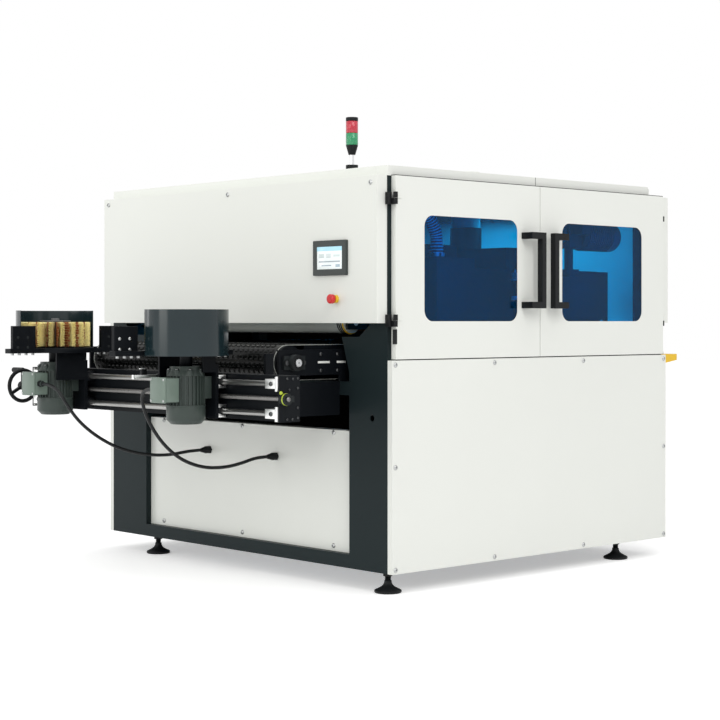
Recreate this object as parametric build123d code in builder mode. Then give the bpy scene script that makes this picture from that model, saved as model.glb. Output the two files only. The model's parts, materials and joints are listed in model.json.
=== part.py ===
from build123d import *
import os
from math import cos, pi, radians, sin, tan

# Sizes in millimetres. X runs across the machine, +X to the door side, with 0 on its centre plane.
# +Y is the feed direction and +Z is up from the floor. The origin is the middle of the floor area.

# Body
FRAME_HALF_WIDTH = 870.0
FRAME_LENGTH = 1600.0
BODY_BOTTOM = 74.0
BODY_TOP = 1515.0
POST_DEPTH = 80.0
POST_PLATE = 6.0
POST_WIDTH_RIGHT = 206.0
POST_WIDTH_LEFT = 245.0
COLUMN_WIDTH = 90.0
SHOULDER_REACH = 248.0
SHOULDER_FLAT = 153.0
SHOULDER_FOOT_Z = 800.0
SHOULDER_TOP_Z = 930.0
COLUMN_FOOT_Z = 978.0
BEAM_WALL = 4.0
BASE_BEAM_HEIGHT = 51.0
SIDE_BEAM_WIDTH = 80.0
TOP_BEAM = 60.0
BED_BEAM_HEIGHT = 50.0
BED_BEAM_GAP = 5.0
MIDDLE_POST = 50.0
POST_HOLE_RADIUS = 12.0
POST_HOLE_FROM_SIDE = 82.0
POST_HOLE_Z = 634.0

# Sheet metal panels and covers
SHEET = 2.0
PANEL_PROUD = 25.0
PANEL_GAP = 4.0
LOWER_PANEL_TOP = 846.0
FRONT_PANEL_TOP = 580.0
FRONT_PANEL_RECESS = 25.0
COVER_DEPTH = 50.0
COVER_BOTTOM = 981.0
COVER_INSET = 2.0
ROOF_HEIGHT = 38.0
ROOF_RAIL_WIDTH = 64.0
ROOF_RAIL_LENGTH = 1511.0

# Dust outlet on the roof
SPIGOT_RADIUS = 62.5
SPIGOT_HEIGHT = 78.0
SPIGOT_FLANGE = 3.0
SPIGOT_FLANGE_REACH = 18.0
SPIGOT_X = 220.0
DUCT_REACH = 205.0
DUCT_CLEARANCE = 3.0

# Doors on the +X side
DOOR_SEAL_GAP = 1.0
DOOR_EDGE = 18.0
DOOR_SEAM = 3.0
WINDOW_FROM_EDGE = 163.0
WINDOW_WIDTH = 505.0
WINDOW_BOTTOM = 988.0
WINDOW_HEIGHT = 389.0
WINDOW_RADIUS = 42.0
WINDOW_OVERLAP = 14.0
PANE_THICKNESS = 5.0
HANDLE_BOTTOM = 1038.0
HANDLE_HEIGHT = 294.0
HANDLE_BAR = 25.0
HANDLE_STANDOFF = 57.0
HANDLE_FOOT_FROM_SEAM = 96.0
HANDLE_GRIP_FROM_SEAM = 38.0
HINGE_HEIGHTS = (990.0, 1432.0)
HINGE_HALF_LENGTH = 22.0
HINGE_RADIUS = 8.0
HINGE_PIN_RADIUS = 5.0
FRONT_HINGE_OUT = 10.0
REAR_HINGE_IN = 12.0
HINGE_FROM_EDGE = 7.0
HINGE_LEAF = 4.0
HINGE_LEAF_REACH = 45.0
RUNNING_CLEARANCE = 0.05

# Levelling feet
FOOT_RADIUS = 50.0
FOOT_PAD_HEIGHT = 16.0
FOOT_STEM_RADIUS = 10.0
FOOT_NUT_RADIUS = 18.0
FOOT_NUT_HEIGHT = 12.0
FOOT_FROM_SIDE = 40.0
FOOT_FROM_END = 40.0
REAR_FOOT_FROM_FRONT = 1345.0
LEFT_FOOT_FROM_POST = 32.0

# Operator panel, emergency stop and signal tower on the infeed side
HMI_X = 621.5
HMI_Z = 1222.0
HMI_WIDTH = 183.0
HMI_HEIGHT = 130.0
HMI_CORNER = 4.0
HMI_DEPTH = 12.0
SCREEN_WIDTH = 140.0
SCREEN_HEIGHT = 84.0
SCREEN_DEPTH = 2.0
STOP_X = 648.0
STOP_Z = 1070.0
STOP_COLLAR_RADIUS = 15.0
STOP_COLLAR_DEPTH = 13.0
STOP_STEM_RADIUS = 9.0
STOP_HEAD_RADIUS = 17.5
STOP_HEAD_DEPTH = 15.0
STOP_TRAVEL = 6.0
STOP_AIR = 1.0
TOWER_X = 613.0
TOWER_FROM_FRONT = 60.0
TOWER_RADIUS = 23.0
TOWER_FOOT_HEIGHT = 20.0
TOWER_POLE_RADIUS = 8.0
TOWER_POLE_HEIGHT = 38.0
TOWER_HOUSING_HEIGHT = 36.0
TOWER_HOUSING_FOOT_RADIUS = 12.8
TOWER_LENS_HEIGHT = 45.0
TOWER_CAP_HEIGHT = 14.0

# Conveyor
BELT_HALF_WIDTH = 580.0
BELT_TOP = 905.0
BELT_RADIUS = 68.0
BELT_THICKNESS = 5.0
BELT_CLEARANCE = 0.3
NOSE_OFFSET = 228.0
SIDE_PLATE_INSIDE = 602.0
SIDE_PLATE = 10.0
SIDE_PLATE_HALF_HEIGHT = 47.0
BED_HEIGHT = 60.0
BED_WALL = 3.0
BED_FROM_ROLLER = 80.0
CROSS_TUBE_RADIUS = 20.0
CROSS_TUBE_COUNT = 4
ROLLER_SHAFT_RADIUS = 15.0
ROLLER_END_GAP = 10.0
BEARING_RADIUS = 30.0
BEARING_LENGTH = 28.0
BEARING_FLANGE = 10.0
BEARING_EAR = 50.0
SHAFT_PROUD = 6.0
SHAFT_HOLE_GAP = 1.0
GEARBOX = 130.0
GEAR_MOTOR_RADIUS = 60.0
GEAR_MOTOR_LENGTH = 230.0

# Yellow box at the outfeed end
OUTFEED_BOX_X = 840.0
OUTFEED_BOX_WIDTH = 60.0
OUTFEED_BOX_REACH = 110.0
OUTFEED_BOX_BOTTOM = 806.0
OUTFEED_BOX_HEIGHT = 42.0
OUTFEED_BOX_TIP_HEIGHT = 26.0
OUTFEED_KNOB_RADIUS = 14.0
OUTFEED_KNOB_HEIGHT = 18.0

# Cross rail in front of the infeed
RAIL_LEFT = 735.0
RAIL_RIGHT = 838.0
BEAM_BACK = 395.0
BEAM_DEPTH = 54.0
BEAM_BOTTOM = 640.0
BEAM_HEIGHT = 160.0
RAIL_BEAM_WALL = 5.0
END_PLATE = 8.0
END_PLATE_FRONT = 486.0
ARM_THICKNESS = 12.0
ARM_GAP = 1.0
ARM_UPRIGHT_DEPTH = 37.0
ARM_UPRIGHT_FROM_BEAM = 40.0
ARM_UPRIGHT_TOP = 872.0
RAIL_OFFSET = 470.0
SHAFT_RADIUS = 10.0
UPPER_SHAFT_Z = 772.0
LOWER_SHAFT_Z = 668.0
SCREW_Z = 720.0
SCREW_SHAFT_RADIUS = 9.0
SUPPORT_LENGTH = 70.0
SUPPORT_HALF_HEIGHT = 16.0
SUPPORT_FLANGE = 8.0
SUPPORT_FLANGE_HALF_HEIGHT = 25.0
SUPPORT_FRONT = 16.0
SCREW_BEARING_RADIUS = 21.0
SCREW_BEARING_LENGTH = 24.0
WHEEL_STANDOFF = 65.0
WHEEL_RADIUS = 72.0
WHEEL_RIM_RADIUS = 8.0
WHEEL_HUB_RADIUS = 18.0
WHEEL_HUB_LENGTH = 24.0
WHEEL_SPOKE = 12.0
WHEEL_SPOKES = 3
WHEEL_KNOB_RADIUS = 11.0
WHEEL_KNOB_LENGTH = 72.0

# Side brush units
UNIT_X = 430.0
BRUSH_OFFSET = 575.0
CARRIAGE_OUTER = 77.0
CARRIAGE_INNER = 96.0
CARRIAGE_PLATE = 13.0
CARRIAGE_BOTTOM = 640.0
CARRIAGE_TOP = 835.0
BLOCK_FRONT = 17.0
BLOCK_BACK = 16.0
BLOCK_HALF_HEIGHT = 19.0
BLOCK_LENGTH = 42.0
NUT_HALF = 22.0
GUSSET = 10.0
GUSSET_REACH = 53.0
GUSSET_BOTTOM = 759.0
GUSSET_STEP = 6.0
BRACE_GAP = 19.0
BRACE_BOTTOM = 806.0
NECK_HEIGHT = 37.0
NECK_RADIUS = 24.0
MOTOR_RADIUS = 62.0
MOTOR_FIN_RADIUS = 69.0
MOTOR_FINS = 28
MOTOR_FIN_WIDTH = 4.0
MOTOR_FLANGE_RADIUS = 58.0
MOTOR_FLANGE = 10.0
MOTOR_BODY_LENGTH = 104.0
MOTOR_BELL_HEIGHT = 24.0
MOTOR_BELL_TOP_RADIUS = 58.0
MOTOR_COWL_LENGTH = 68.0
MOTOR_COWL_RADIUS = 70.0
MOTOR_COWL_CHAMFER = 16.0
TERMINAL_WIDTH = 84.0
TERMINAL_HEIGHT = 86.0
TERMINAL_BOTTOM = 702.0
TERMINAL_FRONT = 125.0
GLAND_RADIUS = 11.0
GLAND_LENGTH = 22.0
BASE_PLATE = 20.0
BASE_PLATE_BOTTOM = 865.0
GUARD_RADIUS = 153.0
GUARD_SHEET = 3.0
GUARD_HEIGHT = 165.0
GUARD_CLOSED_ANGLE = 196.0
GUARD_TURN = -11.0
GUIDE_FACE = 100.0
GUIDE_THICKNESS = 18.0
GUIDE_START = 150.0
GUIDE_LENGTH = 100.0
GUIDE_TOP = 970.0
GUIDE_BAR_WIDTH = 40.0
GUIDE_BAR_REACH = 261.0
BRUSH_RADIUS = 138.0
BRUSH_BOTTOM = 889.0
BRUSH_HEIGHT = 96.0
HUB_RADIUS = 45.0
BACKING = 4.0
STRIPS = 18
STRANDS_PER_STRIP = 10
STRAND_WIDTH = 4.0
STRAND_HEIGHT = 7.0
FLAP_THICKNESS = 1.5
FLAP_SHORT = 6.0
SPINDLE_RADIUS = 14.0
CLAMP_RADIUS = 60.0
CLAMP_THICKNESS = 6.0
CLAMP_NUT_RADIUS = 16.0
CLAMP_NUT_HEIGHT = 9.0
SEAT_GAP = 0.3

# Lifting head inside the cabinet
HEAD_PLATE_INSIDE = 600.0
HEAD_PLATE = 12.0
HEAD_END = 40.0
HEAD_BOTTOM = 957.0
HEAD_TOP = 1200.0
PRESS_RADIUS = 40.0
PRESS_FROM_END = 82.0
PRESS_Z = 983.0
PRESS_SHAFT_RADIUS = 12.0
PRESS_END_GAP = 10.0
DRUM_RADIUS = 140.0
DRUM_Z = 1085.0
FRONT_DRUM = 480.0
REAR_DRUM = 1080.0
DRUM_SHAFT_RADIUS = 20.0
DRUM_END_GAP = 12.0
DRUM_MOTOR_RADIUS = 85.0
DRUM_MOTOR_LENGTH = 225.0
HOOD_HALF_DEPTH = 155.0
HOOD_TOP = 1290.0
COLLAR_WALL = 2.5
COLLAR_HEIGHT = 100.0
HEAD_TUBE_RADIUS = 20.0
HEAD_TUBE_DROP = 32.0
JACK_X = 770.0
JACK_FROM_FRONT = 1115.0
JACK_SCREW_RADIUS = 18.0
JACK_SCREW_TOP = 1402.0
JACK_BOX_WIDTH = 76.0
JACK_BOX_BOTTOM = 1286.0
JACK_BOX_TOP = 1400.0
JACK_HANGER_WIDTH = 60.0
JACK_MOTOR_RADIUS = 58.0
JACK_MOTOR_LENGTH = 230.0
JACK_MOTOR_Z = 1340.0
JACK_ARM = 30.0

# Equipment boxes on the head's door side, each (from, to, bottom, top), and the hose arched between them
SIDE_BOXES = ((100.0, 200.0, 1120.0, 1234.0), (380.0, 590.0, 960.0, 1234.0), (960.0, 1330.0, 960.0, 1196.0))
SIDE_BOX_DEPTH = 128.0
SIDE_BOX_TOP = SIDE_BOXES[0][3]
HOSE_X = 690.0
HOSE_FROM_FRONT = 150.0
HOSE_RADIUS = 22.0
HOSE_RIB = 3.0
HOSE_BORE_RADIUS = 18.0
HOSE_RISE = 56.0
HOSE_BEND = 140.0
HOSE_RIB_PITCH = 9.0

# Motor cables, each from a terminal box down to a gland on the front lower panel
CABLE_DIAMETER = 13.0
BEND_SHARE = 0.45
PANEL_GLANDS = ((-215.0, 463.0), (211.0, 461.0))
PANEL_GLAND_RADIUS = 14.0
PANEL_GLAND_LENGTH = 45.0

# Places worked out from the sizes above
RING_REACH = NOSE_OFFSET + BELT_RADIUS
GUIDE_REACH = BRUSH_OFFSET + GUIDE_BAR_REACH
FRONT = (GUIDE_REACH - FRAME_LENGTH - RING_REACH) / 2
BACK = FRONT + FRAME_LENGTH
MIDDLE = (FRONT + BACK) / 2
SIDE_FACE = FRAME_HALF_WIDTH + PANEL_PROUD
COVER_FACE = FRONT - COVER_DEPTH
ROOF_TOP = BODY_TOP + ROOF_HEIGHT
DOOR_BOTTOM = LOWER_PANEL_TOP + PANEL_GAP
LEFT_POST_EDGE = POST_WIDTH_LEFT - FRAME_HALF_WIDTH
RIGHT_POST_EDGE = FRAME_HALF_WIDTH - POST_WIDTH_RIGHT
AXIS_Z = BELT_TOP - BELT_RADIUS
NOSE_Y = FRONT - NOSE_OFFSET
DRIVE_Y = BACK + NOSE_OFFSET
BED_BEAM_TOP = AXIS_Z - BELT_RADIUS - BED_BEAM_GAP
SIDE_PLATE_OUTSIDE = SIDE_PLATE_INSIDE + SIDE_PLATE
RAIL_Y = FRONT - RAIL_OFFSET
RAIL_REACH = {-1: RAIL_LEFT, 1: RAIL_RIGHT}
BEAM_FRONT_Y = FRONT - BEAM_BACK - BEAM_DEPTH
BRUSH_Y = FRONT - BRUSH_OFFSET
BASE_PLATE_TOP = BASE_PLATE_BOTTOM + BASE_PLATE
BRUSH_TOP = BRUSH_BOTTOM + BRUSH_HEIGHT
HOOD_BOTTOM = DRUM_Z

os.makedirs("parts", exist_ok=True)


def save(piece, name):
    """Label a finished piece and write it as one file."""
    piece.part.label = name
    export_step(piece.part, f"parts/{name}.step")


def block(x, y, z, mode=Mode.ADD):
    """Fill the space between three (low, high) pairs."""
    with Locations(((x[0] + x[1]) / 2, (y[0] + y[1]) / 2, (z[0] + z[1]) / 2)):
        Box(x[1] - x[0], y[1] - y[0], z[1] - z[0], mode=mode)


def rod(axis, centre, ends, radius, mode=Mode.ADD):
    """Put a round bar along an axis, through a centre given in the two other directions."""
    half = (ends[0] + ends[1]) / 2
    turn = {"X": (0, 90, 0), "Y": (90, 0, 0), "Z": (0, 0, 0)}[axis]
    spot = {
        "X": (half, centre[0], centre[1]),
        "Y": (centre[0], half, centre[1]),
        "Z": (centre[0], centre[1], half),
    }[axis]
    with Locations(Location(spot, turn)):
        Cylinder(radius, abs(ends[1] - ends[0]), mode=mode)


def tube(x, y, z, wall, along):
    """Box section with its walls on four sides, open at both ends along one axis."""
    block(x, y, z)
    inner = [(pair[0] + wall, pair[1] - wall) for pair in (x, y, z)]
    inner["XYZ".index(along)] = (x, y, z)["XYZ".index(along)]
    block(*inner, mode=Mode.SUBTRACT)


def pan(x, y, z, wall, opening):
    """Folded sheet tray: a face and four returns, open towards the side named by opening."""
    block(x, y, z)
    inner = [[pair[0] + wall, pair[1] - wall] for pair in (x, y, z)]
    axis = "XYZ".index(opening[1])
    end = 1 if opening[0] == "+" else 0
    inner[axis][end] = (x, y, z)[axis][end]
    block(*inner, mode=Mode.SUBTRACT)


def sided(side, low, high):
    """A range on the +X side, or its mirror image for side -1."""
    return (low, high) if side > 0 else (-high, -low)


# Welded frame: posts folded from plate with shoulders beside the infeed, and box beams between them
POST_OUTLINE = (
    (0, BODY_BOTTOM),
    (0, BODY_TOP),
    (COLUMN_WIDTH, BODY_TOP),
    (COLUMN_WIDTH, COLUMN_FOOT_Z),
    (SHOULDER_FLAT, SHOULDER_TOP_Z),
    (SHOULDER_REACH, SHOULDER_TOP_Z),
)

with BuildPart() as frame_posts:
    for side, width in ((1, POST_WIDTH_RIGHT), (-1, POST_WIDTH_LEFT)):
        corners = POST_OUTLINE + ((width, SHOULDER_FOOT_Z), (width, BODY_BOTTOM))
        outline = [(side * (FRAME_HALF_WIDTH - reach), height) for reach, height in corners]
        with BuildSketch(Plane.XZ.offset(-FRONT)):
            with BuildLine():
                Polyline(*outline, close=True)
            make_face()
        extrude(amount=-POST_DEPTH)
        with BuildSketch(Plane.XZ.offset(-FRONT - POST_PLATE)):
            with BuildLine():
                Polyline(*outline, close=True)
            make_face()
            offset(amount=-POST_PLATE, mode=Mode.REPLACE)
        extrude(amount=-POST_DEPTH, mode=Mode.SUBTRACT)
    hole_x = FRAME_HALF_WIDTH - POST_HOLE_FROM_SIDE
    rod("Y", (hole_x, POST_HOLE_Z), (FRONT, FRONT + POST_PLATE), POST_HOLE_RADIUS, mode=Mode.SUBTRACT)
    mirror(about=Plane.XZ.offset(-MIDDLE))
    for side in (-1, 1):
        tube(
            sided(side, FRAME_HALF_WIDTH - MIDDLE_POST, FRAME_HALF_WIDTH),
            (MIDDLE - MIDDLE_POST / 2, MIDDLE + MIDDLE_POST / 2),
            (BODY_BOTTOM + SIDE_BEAM_WIDTH, BODY_TOP - TOP_BEAM),
            BEAM_WALL,
            "Z",
        )
save(frame_posts, "frame_posts")

with BuildPart() as frame_beams:
    between_posts = (LEFT_POST_EDGE, RIGHT_POST_EDGE)
    between_columns = (COLUMN_WIDTH - FRAME_HALF_WIDTH, FRAME_HALF_WIDTH - COLUMN_WIDTH)
    for low, high in ((FRONT, FRONT + POST_DEPTH), (BACK - POST_DEPTH, BACK)):
        tube(between_posts, (low, high), (BODY_BOTTOM, BODY_BOTTOM + BASE_BEAM_HEIGHT), BEAM_WALL, "X")
        tube(between_posts, (low, high), (BED_BEAM_TOP - BED_BEAM_HEIGHT, BED_BEAM_TOP), BEAM_WALL, "X")
        tube(between_columns, (low, high), (BODY_TOP - TOP_BEAM, BODY_TOP), BEAM_WALL, "X")
    for side in (-1, 1):
        along = (FRONT + POST_DEPTH, BACK - POST_DEPTH)
        tube(
            sided(side, FRAME_HALF_WIDTH - SIDE_BEAM_WIDTH, FRAME_HALF_WIDTH),
            along,
            (BODY_BOTTOM, BODY_BOTTOM + SIDE_BEAM_WIDTH),
            BEAM_WALL,
            "Y",
        )
        tube(
            sided(side, FRAME_HALF_WIDTH - TOP_BEAM, FRAME_HALF_WIDTH),
            along,
            (BODY_TOP - TOP_BEAM, BODY_TOP),
            BEAM_WALL,
            "Y",
        )
save(frame_beams, "frame_beams")

# Levelling feet: pad, stem and lock nut turned as one, screwed up against the frame
FOOT_SPOTS = (
    (FRAME_HALF_WIDTH - FOOT_FROM_SIDE, FRONT + FOOT_FROM_END),
    (LEFT_POST_EDGE + LEFT_FOOT_FROM_POST, FRONT + FOOT_FROM_END),
    (FRAME_HALF_WIDTH - FOOT_FROM_SIDE, FRONT + REAR_FOOT_FROM_FRONT),
    (FOOT_FROM_SIDE - FRAME_HALF_WIDTH, FRONT + REAR_FOOT_FROM_FRONT),
)

with BuildPart() as levelling_feet:
    for x, y in FOOT_SPOTS:
        with Locations((x, y, FOOT_PAD_HEIGHT / 2)):
            Cone(FOOT_RADIUS, FOOT_STEM_RADIUS * 2, FOOT_PAD_HEIGHT)
        rod("Z", (x, y), (FOOT_PAD_HEIGHT, BODY_BOTTOM), FOOT_STEM_RADIUS)
        rod("Z", (x, y), (BODY_BOTTOM - FOOT_NUT_HEIGHT, BODY_BOTTOM), FOOT_NUT_RADIUS)
save(levelling_feet, "levelling_feet")

# Lower panels, upper panels of the far side, and the covers over both ends
PANEL_Z = (BODY_BOTTOM + BASE_BEAM_HEIGHT, FRONT_PANEL_TOP)
FRONT_PANEL_FACE = FRONT + FRONT_PANEL_RECESS

with BuildPart() as front_lower_panel:
    pan(between_posts, (FRONT_PANEL_FACE, FRONT + POST_DEPTH), PANEL_Z, SHEET, "+Y")
    for x, z in PANEL_GLANDS:
        face = (FRONT_PANEL_FACE, FRONT_PANEL_FACE + SHEET)
        rod("Y", (x, z), face, CABLE_DIAMETER / 2 + RUNNING_CLEARANCE, mode=Mode.SUBTRACT)
save(front_lower_panel, "front_lower_panel")

LENGTH = (FRONT, BACK)
LOWER_Z = (BODY_BOTTOM, LOWER_PANEL_TOP)
UPPER_Z = (DOOR_BOTTOM, BODY_TOP)
WINDOW_Z = WINDOW_BOTTOM + WINDOW_HEIGHT / 2


def window_middle(edge, inward):
    """Y of a window's middle, from the end of the body that it lies next to."""
    return edge + inward * (WINDOW_FROM_EDGE + WINDOW_WIDTH / 2)


with BuildPart() as side_panels:
    pan(sided(1, FRAME_HALF_WIDTH, SIDE_FACE), LENGTH, LOWER_Z, SHEET, "-X")
    pan(sided(-1, FRAME_HALF_WIDTH, SIDE_FACE), LENGTH, LOWER_Z, SHEET, "+X")
    for low, high in ((FRONT, MIDDLE - DOOR_SEAM / 2), (MIDDLE + DOOR_SEAM / 2, BACK)):
        pan(sided(-1, FRAME_HALF_WIDTH, SIDE_FACE), (low, high), UPPER_Z, SHEET, "+X")
    for edge, inward in ((FRONT, 1), (BACK, -1)):
        with BuildSketch(Plane.YZ.offset(-SIDE_FACE)):
            with Locations((window_middle(edge, inward), WINDOW_Z)):
                RectangleRounded(WINDOW_WIDTH, WINDOW_HEIGHT, WINDOW_RADIUS)
        extrude(amount=SHEET, mode=Mode.SUBTRACT)
save(side_panels, "side_panels")

PANE_WIDTH = WINDOW_WIDTH + 2 * WINDOW_OVERLAP
PANE_HEIGHT = WINDOW_HEIGHT + 2 * WINDOW_OVERLAP

with BuildPart() as left_windows:
    for edge, inward in ((FRONT, 1), (BACK, -1)):
        with BuildSketch(Plane.YZ.offset(SHEET - SIDE_FACE)):
            with Locations((window_middle(edge, inward), WINDOW_Z)):
                RectangleRounded(PANE_WIDTH, PANE_HEIGHT, WINDOW_RADIUS)
        extrude(amount=PANE_THICKNESS)
save(left_windows, "left_windows")

COVER_X = (COVER_INSET - FRAME_HALF_WIDTH, FRAME_HALF_WIDTH - COVER_INSET)
COVER_Z = (COVER_BOTTOM, BODY_TOP)

with BuildPart() as front_cover:
    pan(COVER_X, (COVER_FACE, FRONT), COVER_Z, SHEET, "+Y")
save(front_cover, "front_cover")

with BuildPart() as rear_panels:
    pan(COVER_X, (BACK, BACK + COVER_DEPTH), COVER_Z, SHEET, "-Y")
    pan(between_posts, (BACK - POST_DEPTH, BACK - FRONT_PANEL_RECESS), PANEL_Z, SHEET, "-Y")
save(rear_panels, "rear_panels")

# Roof tray with two side rails, and the dust outlet, whose duct reaches down into the rear hood
DUCT_BOTTOM = BODY_TOP - DUCT_REACH
ROOF_EDGE = FRAME_HALF_WIDTH - ROOF_RAIL_WIDTH
SPIGOT_Y = FRONT + REAR_DRUM
SPIGOT_TOP = ROOF_TOP + SPIGOT_HEIGHT

with BuildPart() as roof_covers:
    pan((-ROOF_EDGE, ROOF_EDGE), LENGTH, (BODY_TOP, ROOF_TOP), SHEET, "-Z")
    hole = SPIGOT_RADIUS + RUNNING_CLEARANCE
    rod("Z", (SPIGOT_X, SPIGOT_Y), (BODY_TOP, ROOF_TOP), hole, mode=Mode.SUBTRACT)
    for side in (-1, 1):
        rail_x = sided(side, ROOF_EDGE + RUNNING_CLEARANCE, FRAME_HALF_WIDTH)
        pan(rail_x, (FRONT, FRONT + ROOF_RAIL_LENGTH), (BODY_TOP, ROOF_TOP), SHEET, "-Z")
save(roof_covers, "roof_covers")

with BuildPart() as dust_outlet:
    rod("Z", (SPIGOT_X, SPIGOT_Y), (DUCT_BOTTOM, SPIGOT_TOP), SPIGOT_RADIUS)
    rod("Z", (SPIGOT_X, SPIGOT_Y), (ROOF_TOP, ROOF_TOP + SPIGOT_FLANGE), SPIGOT_RADIUS + SPIGOT_FLANGE_REACH)
    rod("Z", (SPIGOT_X, SPIGOT_Y), (DUCT_BOTTOM, SPIGOT_TOP), SPIGOT_RADIUS - SHEET, mode=Mode.SUBTRACT)
save(dust_outlet, "dust_outlet")

# Doors: a tray with a window opening and hinge knuckles, its pane, and an offset pull handle
DOORS = (("front", FRONT, 1), ("rear", BACK, -1))
HINGE_X = {"front": SIDE_FACE + FRONT_HINGE_OUT, "rear": SIDE_FACE - REAR_HINGE_IN}
REAR_LEAF_X = (HINGE_X["rear"] - HINGE_LEAF / 2, HINGE_X["rear"] + HINGE_LEAF / 2)
DOOR_LEAVES = {
    "front": ((SIDE_FACE, SIDE_FACE + HINGE_LEAF), HINGE_LEAF_REACH),
    "rear": (REAR_LEAF_X, DOOR_EDGE + SHEET),
}
DOOR_BACK = FRAME_HALF_WIDTH + DOOR_SEAL_GAP


def run(start, inward, near, far):
    """A Y range measured inwards from an edge of the body."""
    return tuple(sorted((start + inward * near, start + inward * far)))


for name, edge, inward in DOORS:
    hinge_y = edge + inward * HINGE_FROM_EDGE
    seam = FRAME_LENGTH / 2
    with BuildPart() as door:
        pan((DOOR_BACK, SIDE_FACE), run(edge, inward, DOOR_EDGE, seam - DOOR_SEAM / 2), UPPER_Z, SHEET, "-X")
        with BuildSketch(Plane.YZ.offset(SIDE_FACE)):
            with Locations((window_middle(edge, inward), WINDOW_Z)):
                RectangleRounded(WINDOW_WIDTH, WINDOW_HEIGHT, WINDOW_RADIUS)
        extrude(amount=-SHEET, mode=Mode.SUBTRACT)
        for height in HINGE_HEIGHTS:
            knuckle_z = (height + SEAT_GAP, height + HINGE_HALF_LENGTH)
            leaf_x, leaf_reach = DOOR_LEAVES[name]
            block(leaf_x, run(edge, inward, HINGE_FROM_EDGE, leaf_reach), knuckle_z)
            rod("Z", (HINGE_X[name], hinge_y), knuckle_z, HINGE_RADIUS)
            bore = HINGE_PIN_RADIUS + RUNNING_CLEARANCE
            rod("Z", (HINGE_X[name], hinge_y), knuckle_z, bore, mode=Mode.SUBTRACT)
    save(door, f"{name}_door")

    with BuildPart() as pane:
        with BuildSketch(Plane.YZ.offset(SIDE_FACE - SHEET)):
            with Locations((window_middle(edge, inward), WINDOW_Z)):
                RectangleRounded(PANE_WIDTH, PANE_HEIGHT, WINDOW_RADIUS)
        extrude(amount=-PANE_THICKNESS)
    save(pane, f"{name}_door_window")

    with BuildPart() as handle:
        grip_x = (SIDE_FACE + HANDLE_STANDOFF - HANDLE_BAR, SIDE_FACE + HANDLE_STANDOFF)
        grip_from = seam - HANDLE_GRIP_FROM_SEAM - HANDLE_BAR / 2
        foot_from = seam - HANDLE_FOOT_FROM_SEAM - HANDLE_BAR / 2
        grip_y = run(edge, inward, grip_from, grip_from + HANDLE_BAR)
        block(grip_x, grip_y, (HANDLE_BOTTOM, HANDLE_BOTTOM + HANDLE_HEIGHT))
        for low in (HANDLE_BOTTOM, HANDLE_BOTTOM + HANDLE_HEIGHT - HANDLE_BAR):
            arm_z = (low, low + HANDLE_BAR)
            block(grip_x, run(edge, inward, foot_from, grip_from + HANDLE_BAR), arm_z)
            block((SIDE_FACE, grip_x[1]), run(edge, inward, foot_from, foot_from + HANDLE_BAR), arm_z)
        fillet(handle.edges().filter_by(Axis.Z).sort_by(Axis.X)[-4:], HANDLE_BAR / 8)
    save(handle, f"{name}_door_handle")

with BuildPart() as hinge_pins:
    for name, edge, inward in DOORS:
        hinge_y = edge + inward * HINGE_FROM_EDGE
        for height in HINGE_HEIGHTS:
            barrel_z = (height - HINGE_HALF_LENGTH, height)
            leaf_y = run(edge, inward, 0, HINGE_FROM_EDGE + HINGE_RADIUS)
            block((FRAME_HALF_WIDTH, HINGE_X[name]), leaf_y, barrel_z)
            rod("Z", (HINGE_X[name], hinge_y), barrel_z, HINGE_RADIUS)
            rod("Z", (HINGE_X[name], hinge_y), (height, height + HINGE_HALF_LENGTH), HINGE_PIN_RADIUS)
save(hinge_pins, "hinge_pins")

# Operator panel with a sunk screen, the emergency stop and the signal tower
with BuildPart() as hmi_panel:
    with BuildSketch(Plane.XZ.offset(-COVER_FACE)):
        with Locations((HMI_X, HMI_Z)):
            RectangleRounded(HMI_WIDTH, HMI_HEIGHT, HMI_CORNER)
    extrude(amount=HMI_DEPTH)
    screen_z = HMI_Z - SCREEN_HEIGHT / 2, HMI_Z + SCREEN_HEIGHT / 2
    screen_x = HMI_X - SCREEN_WIDTH / 2, HMI_X + SCREEN_WIDTH / 2
    glass_y = COVER_FACE - HMI_DEPTH, COVER_FACE - HMI_DEPTH + SCREEN_DEPTH
    block(screen_x, glass_y, screen_z, mode=Mode.SUBTRACT)
save(hmi_panel, "hmi_panel")

STOP_COLLAR_FACE = COVER_FACE - STOP_COLLAR_DEPTH
STOP_HEAD_BACK = STOP_COLLAR_FACE - STOP_TRAVEL - STOP_AIR

with BuildPart() as stop_collar:
    rod("Y", (STOP_X, STOP_Z), (STOP_COLLAR_FACE, COVER_FACE), STOP_COLLAR_RADIUS)
    bore = STOP_STEM_RADIUS + RUNNING_CLEARANCE
    rod("Y", (STOP_X, STOP_Z), (STOP_COLLAR_FACE, COVER_FACE), bore, mode=Mode.SUBTRACT)
save(stop_collar, "stop_collar")

with BuildPart() as stop_button:
    rod("Y", (STOP_X, STOP_Z), (STOP_HEAD_BACK, COVER_FACE - STOP_TRAVEL - STOP_AIR), STOP_STEM_RADIUS)
    rod("Y", (STOP_X, STOP_Z), (STOP_HEAD_BACK - STOP_HEAD_DEPTH, STOP_HEAD_BACK), STOP_HEAD_RADIUS)
    fillet(stop_button.edges().group_by(Axis.Y)[0], STOP_HEAD_DEPTH / 3)
save(stop_button, "stop_button")

TOWER_Y = FRONT + TOWER_FROM_FRONT
POLE_BOTTOM = ROOF_TOP + TOWER_FOOT_HEIGHT
HOUSING_BOTTOM = POLE_BOTTOM + TOWER_POLE_HEIGHT
GREEN_BOTTOM = HOUSING_BOTTOM + TOWER_HOUSING_HEIGHT
RED_BOTTOM = GREEN_BOTTOM + TOWER_LENS_HEIGHT
CAP_BOTTOM = RED_BOTTOM + TOWER_LENS_HEIGHT

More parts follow.
